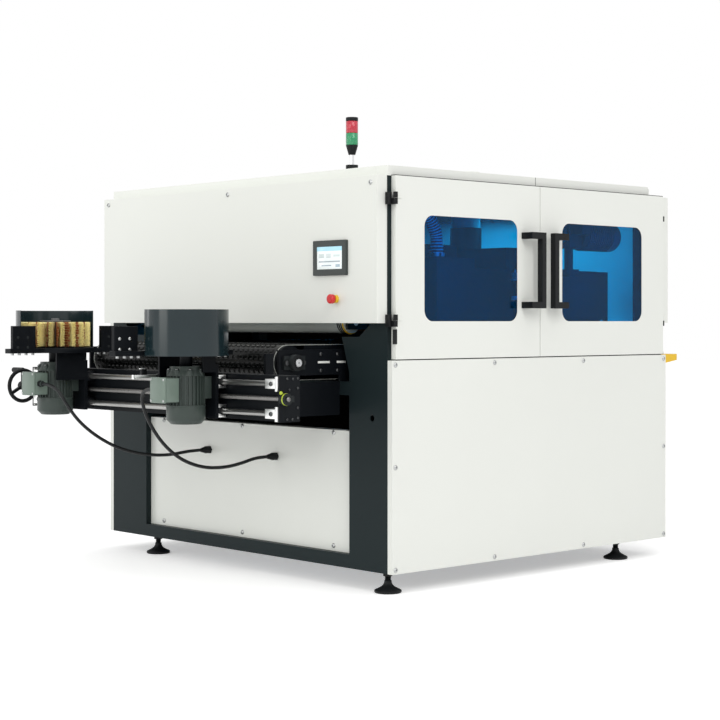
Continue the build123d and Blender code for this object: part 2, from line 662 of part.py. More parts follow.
with BuildPart() as tower_body:
    rod("Z", (TOWER_X, TOWER_Y), (ROOF_TOP, POLE_BOTTOM), TOWER_RADIUS)
    rod("Z", (TOWER_X, TOWER_Y), (POLE_BOTTOM, HOUSING_BOTTOM), TOWER_POLE_RADIUS)
    with Locations((TOWER_X, TOWER_Y, (HOUSING_BOTTOM + GREEN_BOTTOM) / 2)):
        Cone(TOWER_HOUSING_FOOT_RADIUS, TOWER_RADIUS, TOWER_HOUSING_HEIGHT)
    rod("Z", (TOWER_X, TOWER_Y), (CAP_BOTTOM, CAP_BOTTOM + TOWER_CAP_HEIGHT), TOWER_RADIUS)
save(tower_body, "tower_body")

for name, low in (("green", GREEN_BOTTOM), ("red", RED_BOTTOM)):
    with BuildPart() as lens:
        rod("Z", (TOWER_X, TOWER_Y), (low, low + TOWER_LENS_HEIGHT), TOWER_RADIUS)
    save(lens, f"tower_{name}_lens")

# Conveyor: side plates joined by tubes and a bed, a belt round two rollers, bearings and gear motor
BED_TOP = BELT_TOP - BELT_THICKNESS
BED_Y = (NOSE_Y + BED_FROM_ROLLER, DRIVE_Y - BED_FROM_ROLLER)

with BuildPart() as conveyor_frame:
    tube((-BELT_HALF_WIDTH, BELT_HALF_WIDTH), BED_Y, (BED_TOP - BED_HEIGHT, BED_TOP), BED_WALL, "Y")
    for step in range(CROSS_TUBE_COUNT):
        y = BED_Y[0] + (BED_Y[1] - BED_Y[0]) * (step + 0.5) / CROSS_TUBE_COUNT
        rod("X", (y, AXIS_Z), (-SIDE_PLATE_INSIDE, SIDE_PLATE_INSIDE), CROSS_TUBE_RADIUS)
    for side in (-1, 1):
        with BuildSketch(Plane.YZ.offset(side * SIDE_PLATE_INSIDE)):
            with Locations(((NOSE_Y + DRIVE_Y) / 2, AXIS_Z)):
                Rectangle(DRIVE_Y - NOSE_Y + 2 * BELT_RADIUS, 2 * SIDE_PLATE_HALF_HEIGHT)
            with Locations((NOSE_Y, AXIS_Z), (DRIVE_Y, AXIS_Z)):
                Circle(ROLLER_SHAFT_RADIUS + SHAFT_HOLE_GAP, mode=Mode.SUBTRACT)
        extrude(amount=side * SIDE_PLATE)
        for low, high in ((FRONT, FRONT + POST_DEPTH), (BACK - POST_DEPTH, BACK)):
            block(sided(side, SIDE_PLATE_INSIDE, SIDE_PLATE_OUTSIDE), (low, high), (BED_BEAM_TOP, AXIS_Z))
save(conveyor_frame, "conveyor_frame")

with BuildPart() as conveyor_belt:
    with BuildSketch(Plane.YZ.offset(-BELT_HALF_WIDTH)):
        with Locations(((NOSE_Y + DRIVE_Y) / 2, AXIS_Z)):
            SlotCenterToCenter(DRIVE_Y - NOSE_Y, 2 * BELT_RADIUS)
            SlotCenterToCenter(DRIVE_Y - NOSE_Y, 2 * (BELT_RADIUS - BELT_THICKNESS), mode=Mode.SUBTRACT)
    extrude(amount=2 * BELT_HALF_WIDTH)
save(conveyor_belt, "conveyor_belt")

ROLLER_RADIUS = BELT_RADIUS - BELT_THICKNESS - BELT_CLEARANCE
ROLLER_HALF = SIDE_PLATE_INSIDE - ROLLER_END_GAP
BEARING_END = SIDE_PLATE_OUTSIDE + BEARING_LENGTH

for name, y in (("nose", NOSE_Y), ("drive", DRIVE_Y)):
    with BuildPart() as roller:
        rod("X", (y, AXIS_Z), (-ROLLER_HALF, ROLLER_HALF), ROLLER_RADIUS)
        shaft_end = BEARING_END + SHAFT_PROUD
        rod("X", (y, AXIS_Z), (-shaft_end, shaft_end), ROLLER_SHAFT_RADIUS)
    save(roller, f"{name}_roller")

SCREW_BEARING_REACH = END_PLATE + SCREW_BEARING_LENGTH

with BuildPart() as flange_bearings:
    for side in (-1, 1):
        for y in (NOSE_Y, DRIVE_Y):
            reach = sided(side, SIDE_PLATE_OUTSIDE, BEARING_END)
            ears = sided(side, SIDE_PLATE_OUTSIDE, SIDE_PLATE_OUTSIDE + BEARING_FLANGE)
            rod("X", (y, AXIS_Z), reach, BEARING_RADIUS)
            block(ears, (y - BEARING_EAR, y + BEARING_EAR), (AXIS_Z - BEARING_EAR / 2, AXIS_Z + BEARING_EAR / 2))
            bore = ROLLER_SHAFT_RADIUS + RUNNING_CLEARANCE
            rod("X", (y, AXIS_Z), reach, bore, mode=Mode.SUBTRACT)
        plate_face = RAIL_REACH[side] + END_PLATE
        reach = sided(side, plate_face, plate_face + SCREW_BEARING_LENGTH)
        ears = sided(side, plate_face, plate_face + BEARING_FLANGE)
        rod("X", (RAIL_Y, SCREW_Z), reach, SCREW_BEARING_RADIUS)
        ear_y = (RAIL_Y - SCREW_BEARING_RADIUS, RAIL_Y + 2 * SCREW_BEARING_RADIUS)
        block(ears, ear_y, (SCREW_Z - SCREW_BEARING_RADIUS / 2, SCREW_Z + SCREW_BEARING_RADIUS / 2))
        bore = SCREW_SHAFT_RADIUS + RUNNING_CLEARANCE
        rod("X", (RAIL_Y, SCREW_Z), reach, bore, mode=Mode.SUBTRACT)
save(flange_bearings, "flange_bearings")

with BuildPart() as conveyor_gear_motor:
    box_x = (-BEARING_END - SHAFT_PROUD - GEARBOX, -BEARING_END)
    box_z = (AXIS_Z - GEARBOX / 2, AXIS_Z + GEARBOX / 2)
    block(box_x, (DRIVE_Y - GEARBOX / 2, DRIVE_Y + GEARBOX / 2), box_z)
    bore = ROLLER_SHAFT_RADIUS + RUNNING_CLEARANCE
    rod("X", (DRIVE_Y, AXIS_Z), (-BEARING_END - SHAFT_PROUD - SHAFT_HOLE_GAP, -BEARING_END), bore, mode=Mode.SUBTRACT)
    motor_x = (box_x[0] + box_x[1]) / 2
    motor_z = (box_z[0] - GEAR_MOTOR_LENGTH, box_z[0])
    rod("Z", (motor_x, DRIVE_Y), motor_z, GEAR_MOTOR_RADIUS)
    arm_y = (DRIVE_Y - GEARBOX, DRIVE_Y - GEARBOX / 2)
    block((box_x[1] - SIDE_PLATE, -SIDE_PLATE_OUTSIDE), arm_y, (AXIS_Z - SIDE_PLATE, AXIS_Z + SIDE_PLATE))
save(conveyor_gear_motor, "conveyor_gear_motor")

with BuildPart() as outfeed_box:
    box_top = OUTFEED_BOX_BOTTOM + OUTFEED_BOX_HEIGHT
    with BuildSketch(Plane.YZ.offset(OUTFEED_BOX_X - OUTFEED_BOX_WIDTH / 2)):
        with BuildLine():
            Polyline(
                (BACK, OUTFEED_BOX_BOTTOM),
                (BACK, box_top),
                (BACK + OUTFEED_BOX_REACH, box_top),
                (BACK + OUTFEED_BOX_REACH, box_top - OUTFEED_BOX_TIP_HEIGHT),
                close=True,
            )
        make_face()
    extrude(amount=OUTFEED_BOX_WIDTH)
    knob_z = (box_top, box_top + OUTFEED_KNOB_HEIGHT)
    rod("Z", (OUTFEED_BOX_X, BACK + OUTFEED_BOX_WIDTH / 2), knob_z, OUTFEED_KNOB_RADIUS)
save(outfeed_box, "outfeed_box")

# Cross rail: box beam with end plates, carried on two arms from the bed beam under the conveyor
ARM_INSIDE = SIDE_PLATE_OUTSIDE - ARM_THICKNESS - ARM_GAP
BEAM_BACK_Y = FRONT - BEAM_BACK
BEAM_TOP = BEAM_BOTTOM + BEAM_HEIGHT

with BuildPart() as cross_rail:
    beam_z = (BEAM_BOTTOM, BEAM_TOP)
    tube((-RAIL_LEFT, RAIL_RIGHT), (BEAM_FRONT_Y, BEAM_BACK_Y), beam_z, RAIL_BEAM_WALL, "X")
    for side in (-1, 1):
        plate_x = sided(side, RAIL_REACH[side], RAIL_REACH[side] + END_PLATE)
        block(plate_x, (FRONT - END_PLATE_FRONT, BEAM_BACK_Y), beam_z)
        hole = SCREW_SHAFT_RADIUS + SHAFT_HOLE_GAP
        rod("X", (RAIL_Y, SCREW_Z), plate_x, hole, mode=Mode.SUBTRACT)
        with BuildSketch(Plane.YZ.offset(side * ARM_INSIDE)):
            with BuildLine():
                Polyline(
                    (BEAM_BACK_Y, BEAM_BOTTOM),
                    (BEAM_BACK_Y, BEAM_TOP - RAIL_BEAM_WALL),
                    (BEAM_BACK_Y + ARM_UPRIGHT_FROM_BEAM, BEAM_TOP - RAIL_BEAM_WALL),
                    (BEAM_BACK_Y + ARM_UPRIGHT_FROM_BEAM, ARM_UPRIGHT_TOP),
                    (BEAM_BACK_Y + ARM_UPRIGHT_FROM_BEAM + ARM_UPRIGHT_DEPTH, ARM_UPRIGHT_TOP),
                    (BEAM_BACK_Y + ARM_UPRIGHT_FROM_BEAM + ARM_UPRIGHT_DEPTH, BED_BEAM_TOP),
                    (FRONT, BED_BEAM_TOP),
                    (FRONT, BEAM_BOTTOM),
                    close=True,
                )
            make_face()
        extrude(amount=side * ARM_THICKNESS)
save(cross_rail, "cross_rail")

with BuildPart() as guide_shafts:
    for z in (LOWER_SHAFT_Z, UPPER_SHAFT_Z):
        rod("X", (RAIL_Y, z), (-RAIL_LEFT, RAIL_RIGHT), SHAFT_RADIUS)
        for side in (-1, 1):
            reach = sided(side, RAIL_REACH[side] - SUPPORT_LENGTH, RAIL_REACH[side])
            height = (z - SUPPORT_HALF_HEIGHT, z + SUPPORT_HALF_HEIGHT)
            block(reach, (RAIL_Y - SUPPORT_FRONT, BEAM_FRONT_Y), height)
            flange_x = sided(side, RAIL_REACH[side] - SUPPORT_FLANGE, RAIL_REACH[side])
            flange_z = (z - SUPPORT_FLANGE_HALF_HEIGHT, z + SUPPORT_FLANGE_HALF_HEIGHT)
            block(flange_x, (RAIL_Y - SUPPORT_FRONT, BEAM_FRONT_Y), flange_z)
save(guide_shafts, "guide_shafts")

WHEEL_BACK = -RAIL_LEFT - SCREW_BEARING_REACH - WHEEL_STANDOFF - 2 * SEAT_GAP
WHEEL_FRONT = WHEEL_BACK - WHEEL_HUB_LENGTH

with BuildPart() as lead_screw:
    screw_end = RAIL_RIGHT + SCREW_BEARING_REACH + SHAFT_PROUD
    rod("X", (RAIL_Y, SCREW_Z), (WHEEL_FRONT, screw_end), SCREW_SHAFT_RADIUS)
save(lead_screw, "lead_screw")

with BuildPart() as handwheel:
    wheel_plane = Plane((WHEEL_BACK - WHEEL_HUB_LENGTH / 2, RAIL_Y, SCREW_Z), x_dir=(0, 1, 0), z_dir=(1, 0, 0))
    rim_radius = WHEEL_RADIUS - WHEEL_RIM_RADIUS
    with Locations(wheel_plane):
        Torus(rim_radius, WHEEL_RIM_RADIUS)
        Cylinder(WHEEL_HUB_RADIUS, WHEEL_HUB_LENGTH)
        with PolarLocations(rim_radius / 2, WHEEL_SPOKES, start_angle=90):
            Box(rim_radius, WHEEL_SPOKE, WHEEL_SPOKE)
        Cylinder(SCREW_SHAFT_RADIUS, WHEEL_HUB_LENGTH, mode=Mode.SUBTRACT)
    knob_x = (WHEEL_FRONT + WHEEL_HUB_LENGTH / 2 - WHEEL_KNOB_LENGTH, WHEEL_FRONT + WHEEL_HUB_LENGTH / 2)
    rod("X", (RAIL_Y, SCREW_Z + rim_radius), knob_x, WHEEL_KNOB_RADIUS)
save(handwheel, "handwheel")

# Cable glands on the front lower panel
with BuildPart() as cable_glands:
    for x, z in PANEL_GLANDS:
        neck = (FRONT_PANEL_FACE - PANEL_GLAND_LENGTH, FRONT_PANEL_FACE)
        rod("Y", (x, z), neck, PANEL_GLAND_RADIUS)
        rod("Y", (x, z), (neck[1] - PANEL_GLAND_LENGTH / 4, neck[1]), PANEL_GLAND_RADIUS + SHEET)
save(cable_glands, "cable_glands")

# Side brush units: carriage, motor, base plate with edge guides, guard and brush, once for each side
NECK_BOTTOM = BASE_PLATE_BOTTOM - NECK_HEIGHT
PLATE_BACK = RAIL_Y - BLOCK_FRONT
PLATE_FRONT = PLATE_BACK - CARRIAGE_PLATE
FLANGE_BOTTOM = NECK_BOTTOM - MOTOR_FLANGE
BELL_LOW = FLANGE_BOTTOM - MOTOR_BELL_HEIGHT
BODY_LOW = BELL_LOW - MOTOR_BODY_LENGTH
COWL_LOW = BODY_LOW - MOTOR_COWL_LENGTH
GUARD_INSIDE = GUARD_RADIUS - GUARD_SHEET
STRAND_START = HUB_RADIUS + BACKING / 2
STRAND_LENGTH = BRUSH_RADIUS - STRAND_START
FLAP_START = HUB_RADIUS + BACKING
FLAP_LENGTH = BRUSH_RADIUS - FLAP_SHORT - FLAP_START
STRIP_TURN = 360 / STRIPS

for name, side in (("left", -1), ("right", 1)):
    axis_x = side * UNIT_X
    centre = (axis_x, BRUSH_Y)
    unit_x = sided(side, UNIT_X - CARRIAGE_INNER, UNIT_X + CARRIAGE_OUTER)
    gusset_x = sided(side, UNIT_X - CARRIAGE_INNER, UNIT_X - CARRIAGE_INNER + GUSSET)
    brace_x = sided(side, UNIT_X + CARRIAGE_OUTER - GUSSET, UNIT_X + CARRIAGE_OUTER)

    with BuildPart() as carriage:
        block(unit_x, (PLATE_FRONT, PLATE_BACK), (CARRIAGE_BOTTOM, CARRIAGE_TOP))
        block(gusset_x, (BRUSH_Y - GUSSET_REACH, PLATE_FRONT), (GUSSET_BOTTOM, CARRIAGE_TOP))
        gusset_y = (BRUSH_Y - GUSSET_REACH, PLATE_FRONT - GUSSET_STEP)
        block(gusset_x, gusset_y, (CARRIAGE_TOP, BASE_PLATE_BOTTOM))
        block(brace_x, (BRUSH_Y + BRACE_GAP, PLATE_FRONT), (BRACE_BOTTOM, BASE_PLATE_BOTTOM))
        for z in (LOWER_SHAFT_Z, UPPER_SHAFT_Z):
            for end in (-1, 1):
                edge = unit_x[0] if end < 0 else unit_x[1]
                block_x = tuple(sorted((edge, edge - end * BLOCK_LENGTH)))
                block_z = (z - BLOCK_HALF_HEIGHT, z + BLOCK_HALF_HEIGHT)
                block(block_x, (PLATE_BACK, RAIL_Y + BLOCK_BACK), block_z)
            bore = SHAFT_RADIUS + RUNNING_CLEARANCE
            rod("X", (RAIL_Y, z), unit_x, bore, mode=Mode.SUBTRACT)
        nut_z = (SCREW_Z - NUT_HALF, SCREW_Z + NUT_HALF)
        block((axis_x - NUT_HALF, axis_x + NUT_HALF), (PLATE_BACK, RAIL_Y + BLOCK_BACK), nut_z)
        bore = SCREW_SHAFT_RADIUS + RUNNING_CLEARANCE
        rod("X", (RAIL_Y, SCREW_Z), unit_x, bore, mode=Mode.SUBTRACT)
    save(carriage, f"{name}_carriage")

    with BuildPart() as motor:
        rod("Z", centre, (FLANGE_BOTTOM, NECK_BOTTOM), MOTOR_FLANGE_RADIUS)
        with BuildSketch(Plane.XY.offset(BODY_LOW)):
            with Locations(centre):
                Circle(MOTOR_RADIUS)
                with PolarLocations(MOTOR_RADIUS, MOTOR_FINS):
                    Rectangle(2 * (MOTOR_FIN_RADIUS - MOTOR_RADIUS), MOTOR_FIN_WIDTH)
        extrude(amount=MOTOR_BODY_LENGTH)
        with Locations((axis_x, BRUSH_Y, (BELL_LOW + FLANGE_BOTTOM) / 2)):
            Cone(MOTOR_FIN_RADIUS, MOTOR_BELL_TOP_RADIUS, MOTOR_BELL_HEIGHT)
        rod("Z", centre, (COWL_LOW, BODY_LOW), MOTOR_COWL_RADIUS)
        chamfer(motor.edges().group_by(Axis.Z)[0], MOTOR_COWL_CHAMFER)
        box_x = (axis_x - TERMINAL_WIDTH / 2, axis_x + TERMINAL_WIDTH / 2)
        box_y = (BRUSH_Y - TERMINAL_FRONT, BRUSH_Y - MOTOR_RADIUS + MOTOR_FIN_WIDTH)
        block(box_x, box_y, (TERMINAL_BOTTOM, TERMINAL_BOTTOM + TERMINAL_HEIGHT))
        gland_x = sided(-side, -UNIT_X + TERMINAL_WIDTH / 2, -UNIT_X + TERMINAL_WIDTH / 2 + GLAND_LENGTH)
        gland_y = BRUSH_Y - (TERMINAL_FRONT + MOTOR_FIN_RADIUS) / 2
        rod("X", (gland_y, TERMINAL_BOTTOM + TERMINAL_HEIGHT / 2), gland_x, GLAND_RADIUS)
    save(motor, f"{name}_motor")

    with BuildPart() as base_plate:
        rod("Z", centre, (BASE_PLATE_BOTTOM, BASE_PLATE_TOP), GUARD_INSIDE - SEAT_GAP)
        face_x = axis_x - side * GUIDE_FACE
        bar_x = tuple(sorted((face_x, face_x + side * GUIDE_BAR_WIDTH)))
        shoe_x = tuple(sorted((face_x, face_x + side * GUIDE_THICKNESS)))
        bar_y = (BRUSH_Y - GUIDE_BAR_REACH, BRUSH_Y + GUIDE_BAR_REACH)
        block(bar_x, bar_y, (BASE_PLATE_BOTTOM, BASE_PLATE_TOP - SHEET))
        far = GUIDE_START + GUIDE_LENGTH
        for end in (-1, 1):
            shoe_y = tuple(sorted((BRUSH_Y + end * GUIDE_START, BRUSH_Y + end * far)))
            block(shoe_x, shoe_y, (BASE_PLATE_BOTTOM, GUIDE_TOP))
        rod("Z", centre, (NECK_BOTTOM, BASE_PLATE_BOTTOM), NECK_RADIUS)
        rod("Z", centre, (NECK_BOTTOM, BASE_PLATE_TOP), SPINDLE_RADIUS + RUNNING_CLEARANCE, mode=Mode.SUBTRACT)
    save(base_plate, f"{name}_base_plate")

    opening = radians(GUARD_TURN if side < 0 else 180 + GUARD_TURN)
    start = opening + radians(180 - GUARD_CLOSED_ANGLE / 2)
    with BuildPart() as guard:
        profile_plane = Plane(
            (axis_x, BRUSH_Y, BASE_PLATE_BOTTOM),
            x_dir=(cos(start), sin(start), 0),
            z_dir=(sin(start), -cos(start), 0),
        )
        with BuildSketch(profile_plane):
            with Locations((GUARD_RADIUS - GUARD_SHEET / 2, GUARD_HEIGHT / 2)):
                Rectangle(GUARD_SHEET, GUARD_HEIGHT)
        revolve(axis=Axis((axis_x, BRUSH_Y, 0), (0, 0, 1)), revolution_arc=GUARD_CLOSED_ANGLE)
    save(guard, f"{name}_guard")

    with BuildPart() as hub:
        rod("Z", centre, (BRUSH_BOTTOM, BRUSH_TOP), HUB_RADIUS)
        rod("Z", centre, (NECK_BOTTOM + SEAT_GAP, BRUSH_BOTTOM), SPINDLE_RADIUS)
        rod("Z", centre, (BRUSH_TOP, BRUSH_TOP + CLAMP_THICKNESS), CLAMP_RADIUS)
        nut_z = BRUSH_TOP + CLAMP_THICKNESS
        rod("Z", centre, (nut_z, nut_z + CLAMP_NUT_HEIGHT), CLAMP_NUT_RADIUS)
    save(hub, f"{name}_brush_hub")

    with BuildPart() as bristles:
        rod("Z", centre, (BRUSH_BOTTOM, BRUSH_TOP), FLAP_START)
        rod("Z", centre, (BRUSH_BOTTOM, BRUSH_TOP), HUB_RADIUS, mode=Mode.SUBTRACT)
        spots = []
        for strip in range(STRIPS):
            turn = radians(strip * STRIP_TURN)
            reach = STRAND_START + STRAND_LENGTH / 2
            for row in range(STRANDS_PER_STRIP):
                z = BRUSH_BOTTOM + BRUSH_HEIGHT * (row + 0.5) / STRANDS_PER_STRIP
                spot = (axis_x + reach * cos(turn), BRUSH_Y + reach * sin(turn), z)
                spots.append(Location(spot, (0, 0, strip * STRIP_TURN)))
        with Locations(*spots):
            Box(STRAND_LENGTH, STRAND_WIDTH, STRAND_HEIGHT)
    save(bristles, f"{name}_brush_bristles")

    with BuildPart() as flaps:
        spots = []
        for strip in range(STRIPS):
            angle = (strip + 0.5) * STRIP_TURN
            reach = FLAP_START + FLAP_LENGTH / 2
            x = axis_x + reach * cos(radians(angle))
            y = BRUSH_Y + reach * sin(radians(angle))
            spots.append(Location((x, y, (BRUSH_BOTTOM + BRUSH_TOP) / 2), (0, 0, angle)))
        with Locations(*spots):
            Box(FLAP_LENGTH, FLAP_THICKNESS, BRUSH_HEIGHT)
    save(flaps, f"{name}_brush_flaps")

# Motor cables, from the terminal box gland round the unit, under the rail and back to the panel gland
CABLE_START_X = UNIT_X - TERMINAL_WIDTH / 2 - GLAND_LENGTH
CABLE_START_Y = BRUSH_Y - (TERMINAL_FRONT + MOTOR_FIN_RADIUS) / 2
CABLE_START_Z = TERMINAL_BOTTOM + TERMINAL_HEIGHT / 2
CABLE_END_Y = FRONT_PANEL_FACE - PANEL_GLAND_LENGTH

LEFT_ROUTE = (
    (-CABLE_START_X, CABLE_START_Y, CABLE_START_Z),
    (-316, CABLE_START_Y, CABLE_START_Z),
    (-272, FRONT - 657, 718),
    (-256, FRONT - 630, 662),
    (-262, FRONT - 575, 600),
    (-274, FRONT - 490, 540),
    (-276, FRONT - 385, 486),
    (-262, FRONT - 272, 455),
    (-236, FRONT - 165, 448),
    (PANEL_GLANDS[0][0], CABLE_END_Y - 60, PANEL_GLANDS[0][1]),
    (PANEL_GLANDS[0][0], CABLE_END_Y, PANEL_GLANDS[0][1]),
)
RIGHT_ROUTE = (
    (CABLE_START_X, CABLE_START_Y, CABLE_START_Z),
    (318, CABLE_START_Y, CABLE_START_Z),
    (274, FRONT - 658, 719),
    (254, FRONT - 634, 670),
    (252, FRONT - 600, 605),
    (254, FRONT - 545, 535),
    (254, FRONT - 465, 475),
    (250, FRONT - 360, 440),
    (238, FRONT - 250, 434),
    (222, FRONT - 150, 445),
    (PANEL_GLANDS[1][0], CABLE_END_Y - 56, PANEL_GLANDS[1][1]),
    (PANEL_GLANDS[1][0], CABLE_END_Y, PANEL_GLANDS[1][1]),
)


def bend_radii(points):
    """Largest tangent arc at each corner of a route that its two runs leave room for."""
    places = [Vector(point) for point in points]
    radii = []
    for before, corner, after in zip(places, places[1:], places[2:]):
        shorter = min((corner - before).length, (after - corner).length)
        turn = (corner - before).get_angle(after - corner)
        radii.append(BEND_SHARE * shorter / tan(radians(turn / 2)))
    return radii


for name, route in (("left", LEFT_ROUTE), ("right", RIGHT_ROUTE)):
    radii = bend_radii(route)
    with BuildPart() as cable:
        with BuildLine() as path:
            FilletPolyline(*route, radius=radii)
        with BuildSketch(Plane(route[0], z_dir=Vector(route[1]) - Vector(route[0]))):
            Circle(CABLE_DIAMETER / 2)
        sweep()
    save(cable, f"{name}_motor_cable")
    length = path.wire().length
    share = cable.part.volume / (pi * (CABLE_DIAMETER / 2) ** 2 * length)
    print(name, "cable radii", [round(radius) for radius in radii], "length", round(length), "fill", round(share, 4))

# Lifting head: side plates with hoods, tubes and jack screws, carrying rollers, drums and drum motors
HEAD_Y = (FRONT + HEAD_END, BACK - HEAD_END)
DRUM_PLACES = (FRONT + FRONT_DRUM, FRONT + REAR_DRUM)
PRESS_PLACES = (FRONT + PRESS_FROM_END, BACK - PRESS_FROM_END)
HEAD_PLATE_OUTSIDE = HEAD_PLATE_INSIDE + HEAD_PLATE
JACK_Y = FRONT + JACK_FROM_FRONT
COLLAR_RADIUS = SPIGOT_RADIUS + DUCT_CLEARANCE

with BuildPart() as head_frame:
    for y in (HEAD_Y[0] + DRUM_RADIUS, MIDDLE - SHEET, HEAD_Y[1] - DRUM_RADIUS):
        place = (y, HEAD_TOP - HEAD_TUBE_DROP)
        rod("X", place, (-HEAD_PLATE_INSIDE, HEAD_PLATE_INSIDE), HEAD_TUBE_RADIUS)
    for side in (-1, 1):
        block(sided(side, HEAD_PLATE_INSIDE, HEAD_PLATE_OUTSIDE), HEAD_Y, (HEAD_BOTTOM, HEAD_TOP))
        arm_x = sided(side, HEAD_PLATE_OUTSIDE, JACK_X + JACK_ARM)
        block(arm_x, (JACK_Y - JACK_ARM, JACK_Y + JACK_ARM), (HEAD_TOP - JACK_ARM, HEAD_TOP))
        rod("Z", (side * JACK_X, JACK_Y), (HEAD_TOP, JACK_SCREW_TOP), JACK_SCREW_RADIUS)
    plates = (-HEAD_PLATE_OUTSIDE, HEAD_PLATE_OUTSIDE)
    for y in DRUM_PLACES:
        rod("X", (y, DRUM_Z), plates, DRUM_SHAFT_RADIUS + RUNNING_CLEARANCE, mode=Mode.SUBTRACT)
    for y in PRESS_PLACES:
        rod("X", (y, PRESS_Z), plates, PRESS_SHAFT_RADIUS + RUNNING_CLEARANCE, mode=Mode.SUBTRACT)
    for low, high, bottom, top in SIDE_BOXES:
        box_x = (HEAD_PLATE_OUTSIDE, HEAD_PLATE_OUTSIDE + SIDE_BOX_DEPTH)
        pan(box_x, (FRONT + low, FRONT + high), (bottom, top), SHEET, "-Z")
save(head_frame, "head_frame")

with BuildPart() as drum_hoods:
    for y in DRUM_PLACES:
        hood_y = (y - HOOD_HALF_DEPTH, y + HOOD_HALF_DEPTH)
        pan((-HEAD_PLATE_INSIDE, HEAD_PLATE_INSIDE), hood_y, (HOOD_BOTTOM, HOOD_TOP), SHEET, "-Z")
    through = (HOOD_TOP - SHEET, HOOD_TOP + COLLAR_HEIGHT)
    rod("Z", (SPIGOT_X, SPIGOT_Y), through, COLLAR_RADIUS + COLLAR_WALL)
    rod("Z", (SPIGOT_X, SPIGOT_Y), through, COLLAR_RADIUS, mode=Mode.SUBTRACT)
    for side in (-1, 1):
        ends = sided(side, HEAD_PLATE_INSIDE - SHEET, HEAD_PLATE_INSIDE)
        for y in DRUM_PLACES:
            rod("X", (y, DRUM_Z), ends, DRUM_SHAFT_RADIUS + SHAFT_PROUD, mode=Mode.SUBTRACT)
save(drum_hoods, "drum_hoods")

for name, y in zip(("infeed", "outfeed"), PRESS_PLACES):
    with BuildPart() as press_roller:
        half = HEAD_PLATE_INSIDE - PRESS_END_GAP
        rod("X", (y, PRESS_Z), (-half, half), PRESS_RADIUS)
        rod("X", (y, PRESS_Z), plates, PRESS_SHAFT_RADIUS)
    save(press_roller, f"{name}_press_roller")

for name, y in zip(("front", "rear"), DRUM_PLACES):
    with BuildPart() as drum:
        half = HEAD_PLATE_INSIDE - DRUM_END_GAP
        rod("X", (y, DRUM_Z), (-half, half), DRUM_RADIUS)
        rod("X", (y, DRUM_Z), plates, DRUM_SHAFT_RADIUS)
    save(drum, f"{name}_drum")

with BuildPart() as drum_motors:
    for y in DRUM_PLACES:
        start = -HEAD_PLATE_OUTSIDE - SEAT_GAP
        rod("X", (y, DRUM_Z), (start - DRUM_MOTOR_LENGTH, start), DRUM_MOTOR_RADIUS)
save(drum_motors, "drum_motors")

# Ribbed hose: up out of the first box, over in a half circle and down into the second
HOSE_Y = FRONT + HOSE_FROM_FRONT
ARCH_LENGTH = HOSE_BEND * radians(180)
HOSE_LENGTH = 2 * HOSE_RISE + ARCH_LENGTH
ARCH_Z = SIDE_BOX_TOP + HOSE_RISE


def hose_plane(travel):
    """Cross-section plane of the hose at a distance along its middle line."""
    if travel <= HOSE_RISE:
        return Plane((HOSE_X, HOSE_Y, SIDE_BOX_TOP + travel), x_dir=(1, 0, 0), z_dir=(0, 0, 1))
    if travel <= HOSE_RISE + ARCH_LENGTH:
        turn = (travel - HOSE_RISE) / HOSE_BEND
        y = HOSE_Y + HOSE_BEND * (1 - cos(turn))
        z = ARCH_Z + HOSE_BEND * sin(turn)
        return Plane((HOSE_X, y, z), x_dir=(1, 0, 0), z_dir=(0, sin(turn), cos(turn)))
    z = SIDE_BOX_TOP + HOSE_LENGTH - travel
    return Plane((HOSE_X, HOSE_Y + 2 * HOSE_BEND, z), x_dir=(1, 0, 0), z_dir=(0, 0, -1))


HOSE_CUFF = HOSE_RADIUS
HOSE_RIBS = round((HOSE_LENGTH - 2 * HOSE_CUFF) / HOSE_RIB_PITCH)
RIB_STEP = (HOSE_LENGTH - 2 * HOSE_CUFF) / HOSE_RIBS
hose_rings = [(0, HOSE_RADIUS)]
for rib in range(HOSE_RIBS):
    base = HOSE_CUFF + rib * RIB_STEP
    hose_rings.append((base, HOSE_RADIUS))
    hose_rings.append((base + 0.25 * RIB_STEP, HOSE_RADIUS + HOSE_RIB))
    hose_rings.append((base + 0.5 * RIB_STEP, HOSE_RADIUS + HOSE_RIB))
    hose_rings.append((base + 0.75 * RIB_STEP, HOSE_RADIUS))
hose_rings.append((HOSE_LENGTH - HOSE_CUFF, HOSE_RADIUS))
hose_rings.append((HOSE_LENGTH, HOSE_RADIUS))

with BuildPart() as suction_hose:
    for travel, radius in hose_rings:
        with BuildSketch(hose_plane(travel)):
            Circle(radius)
    loft(ruled=True)
    for travel, radius in hose_rings:
        with BuildSketch(hose_plane(travel)):
            Circle(HOSE_BORE_RADIUS)
    loft(ruled=True, mode=Mode.SUBTRACT)
save(suction_hose, "suction_hose")

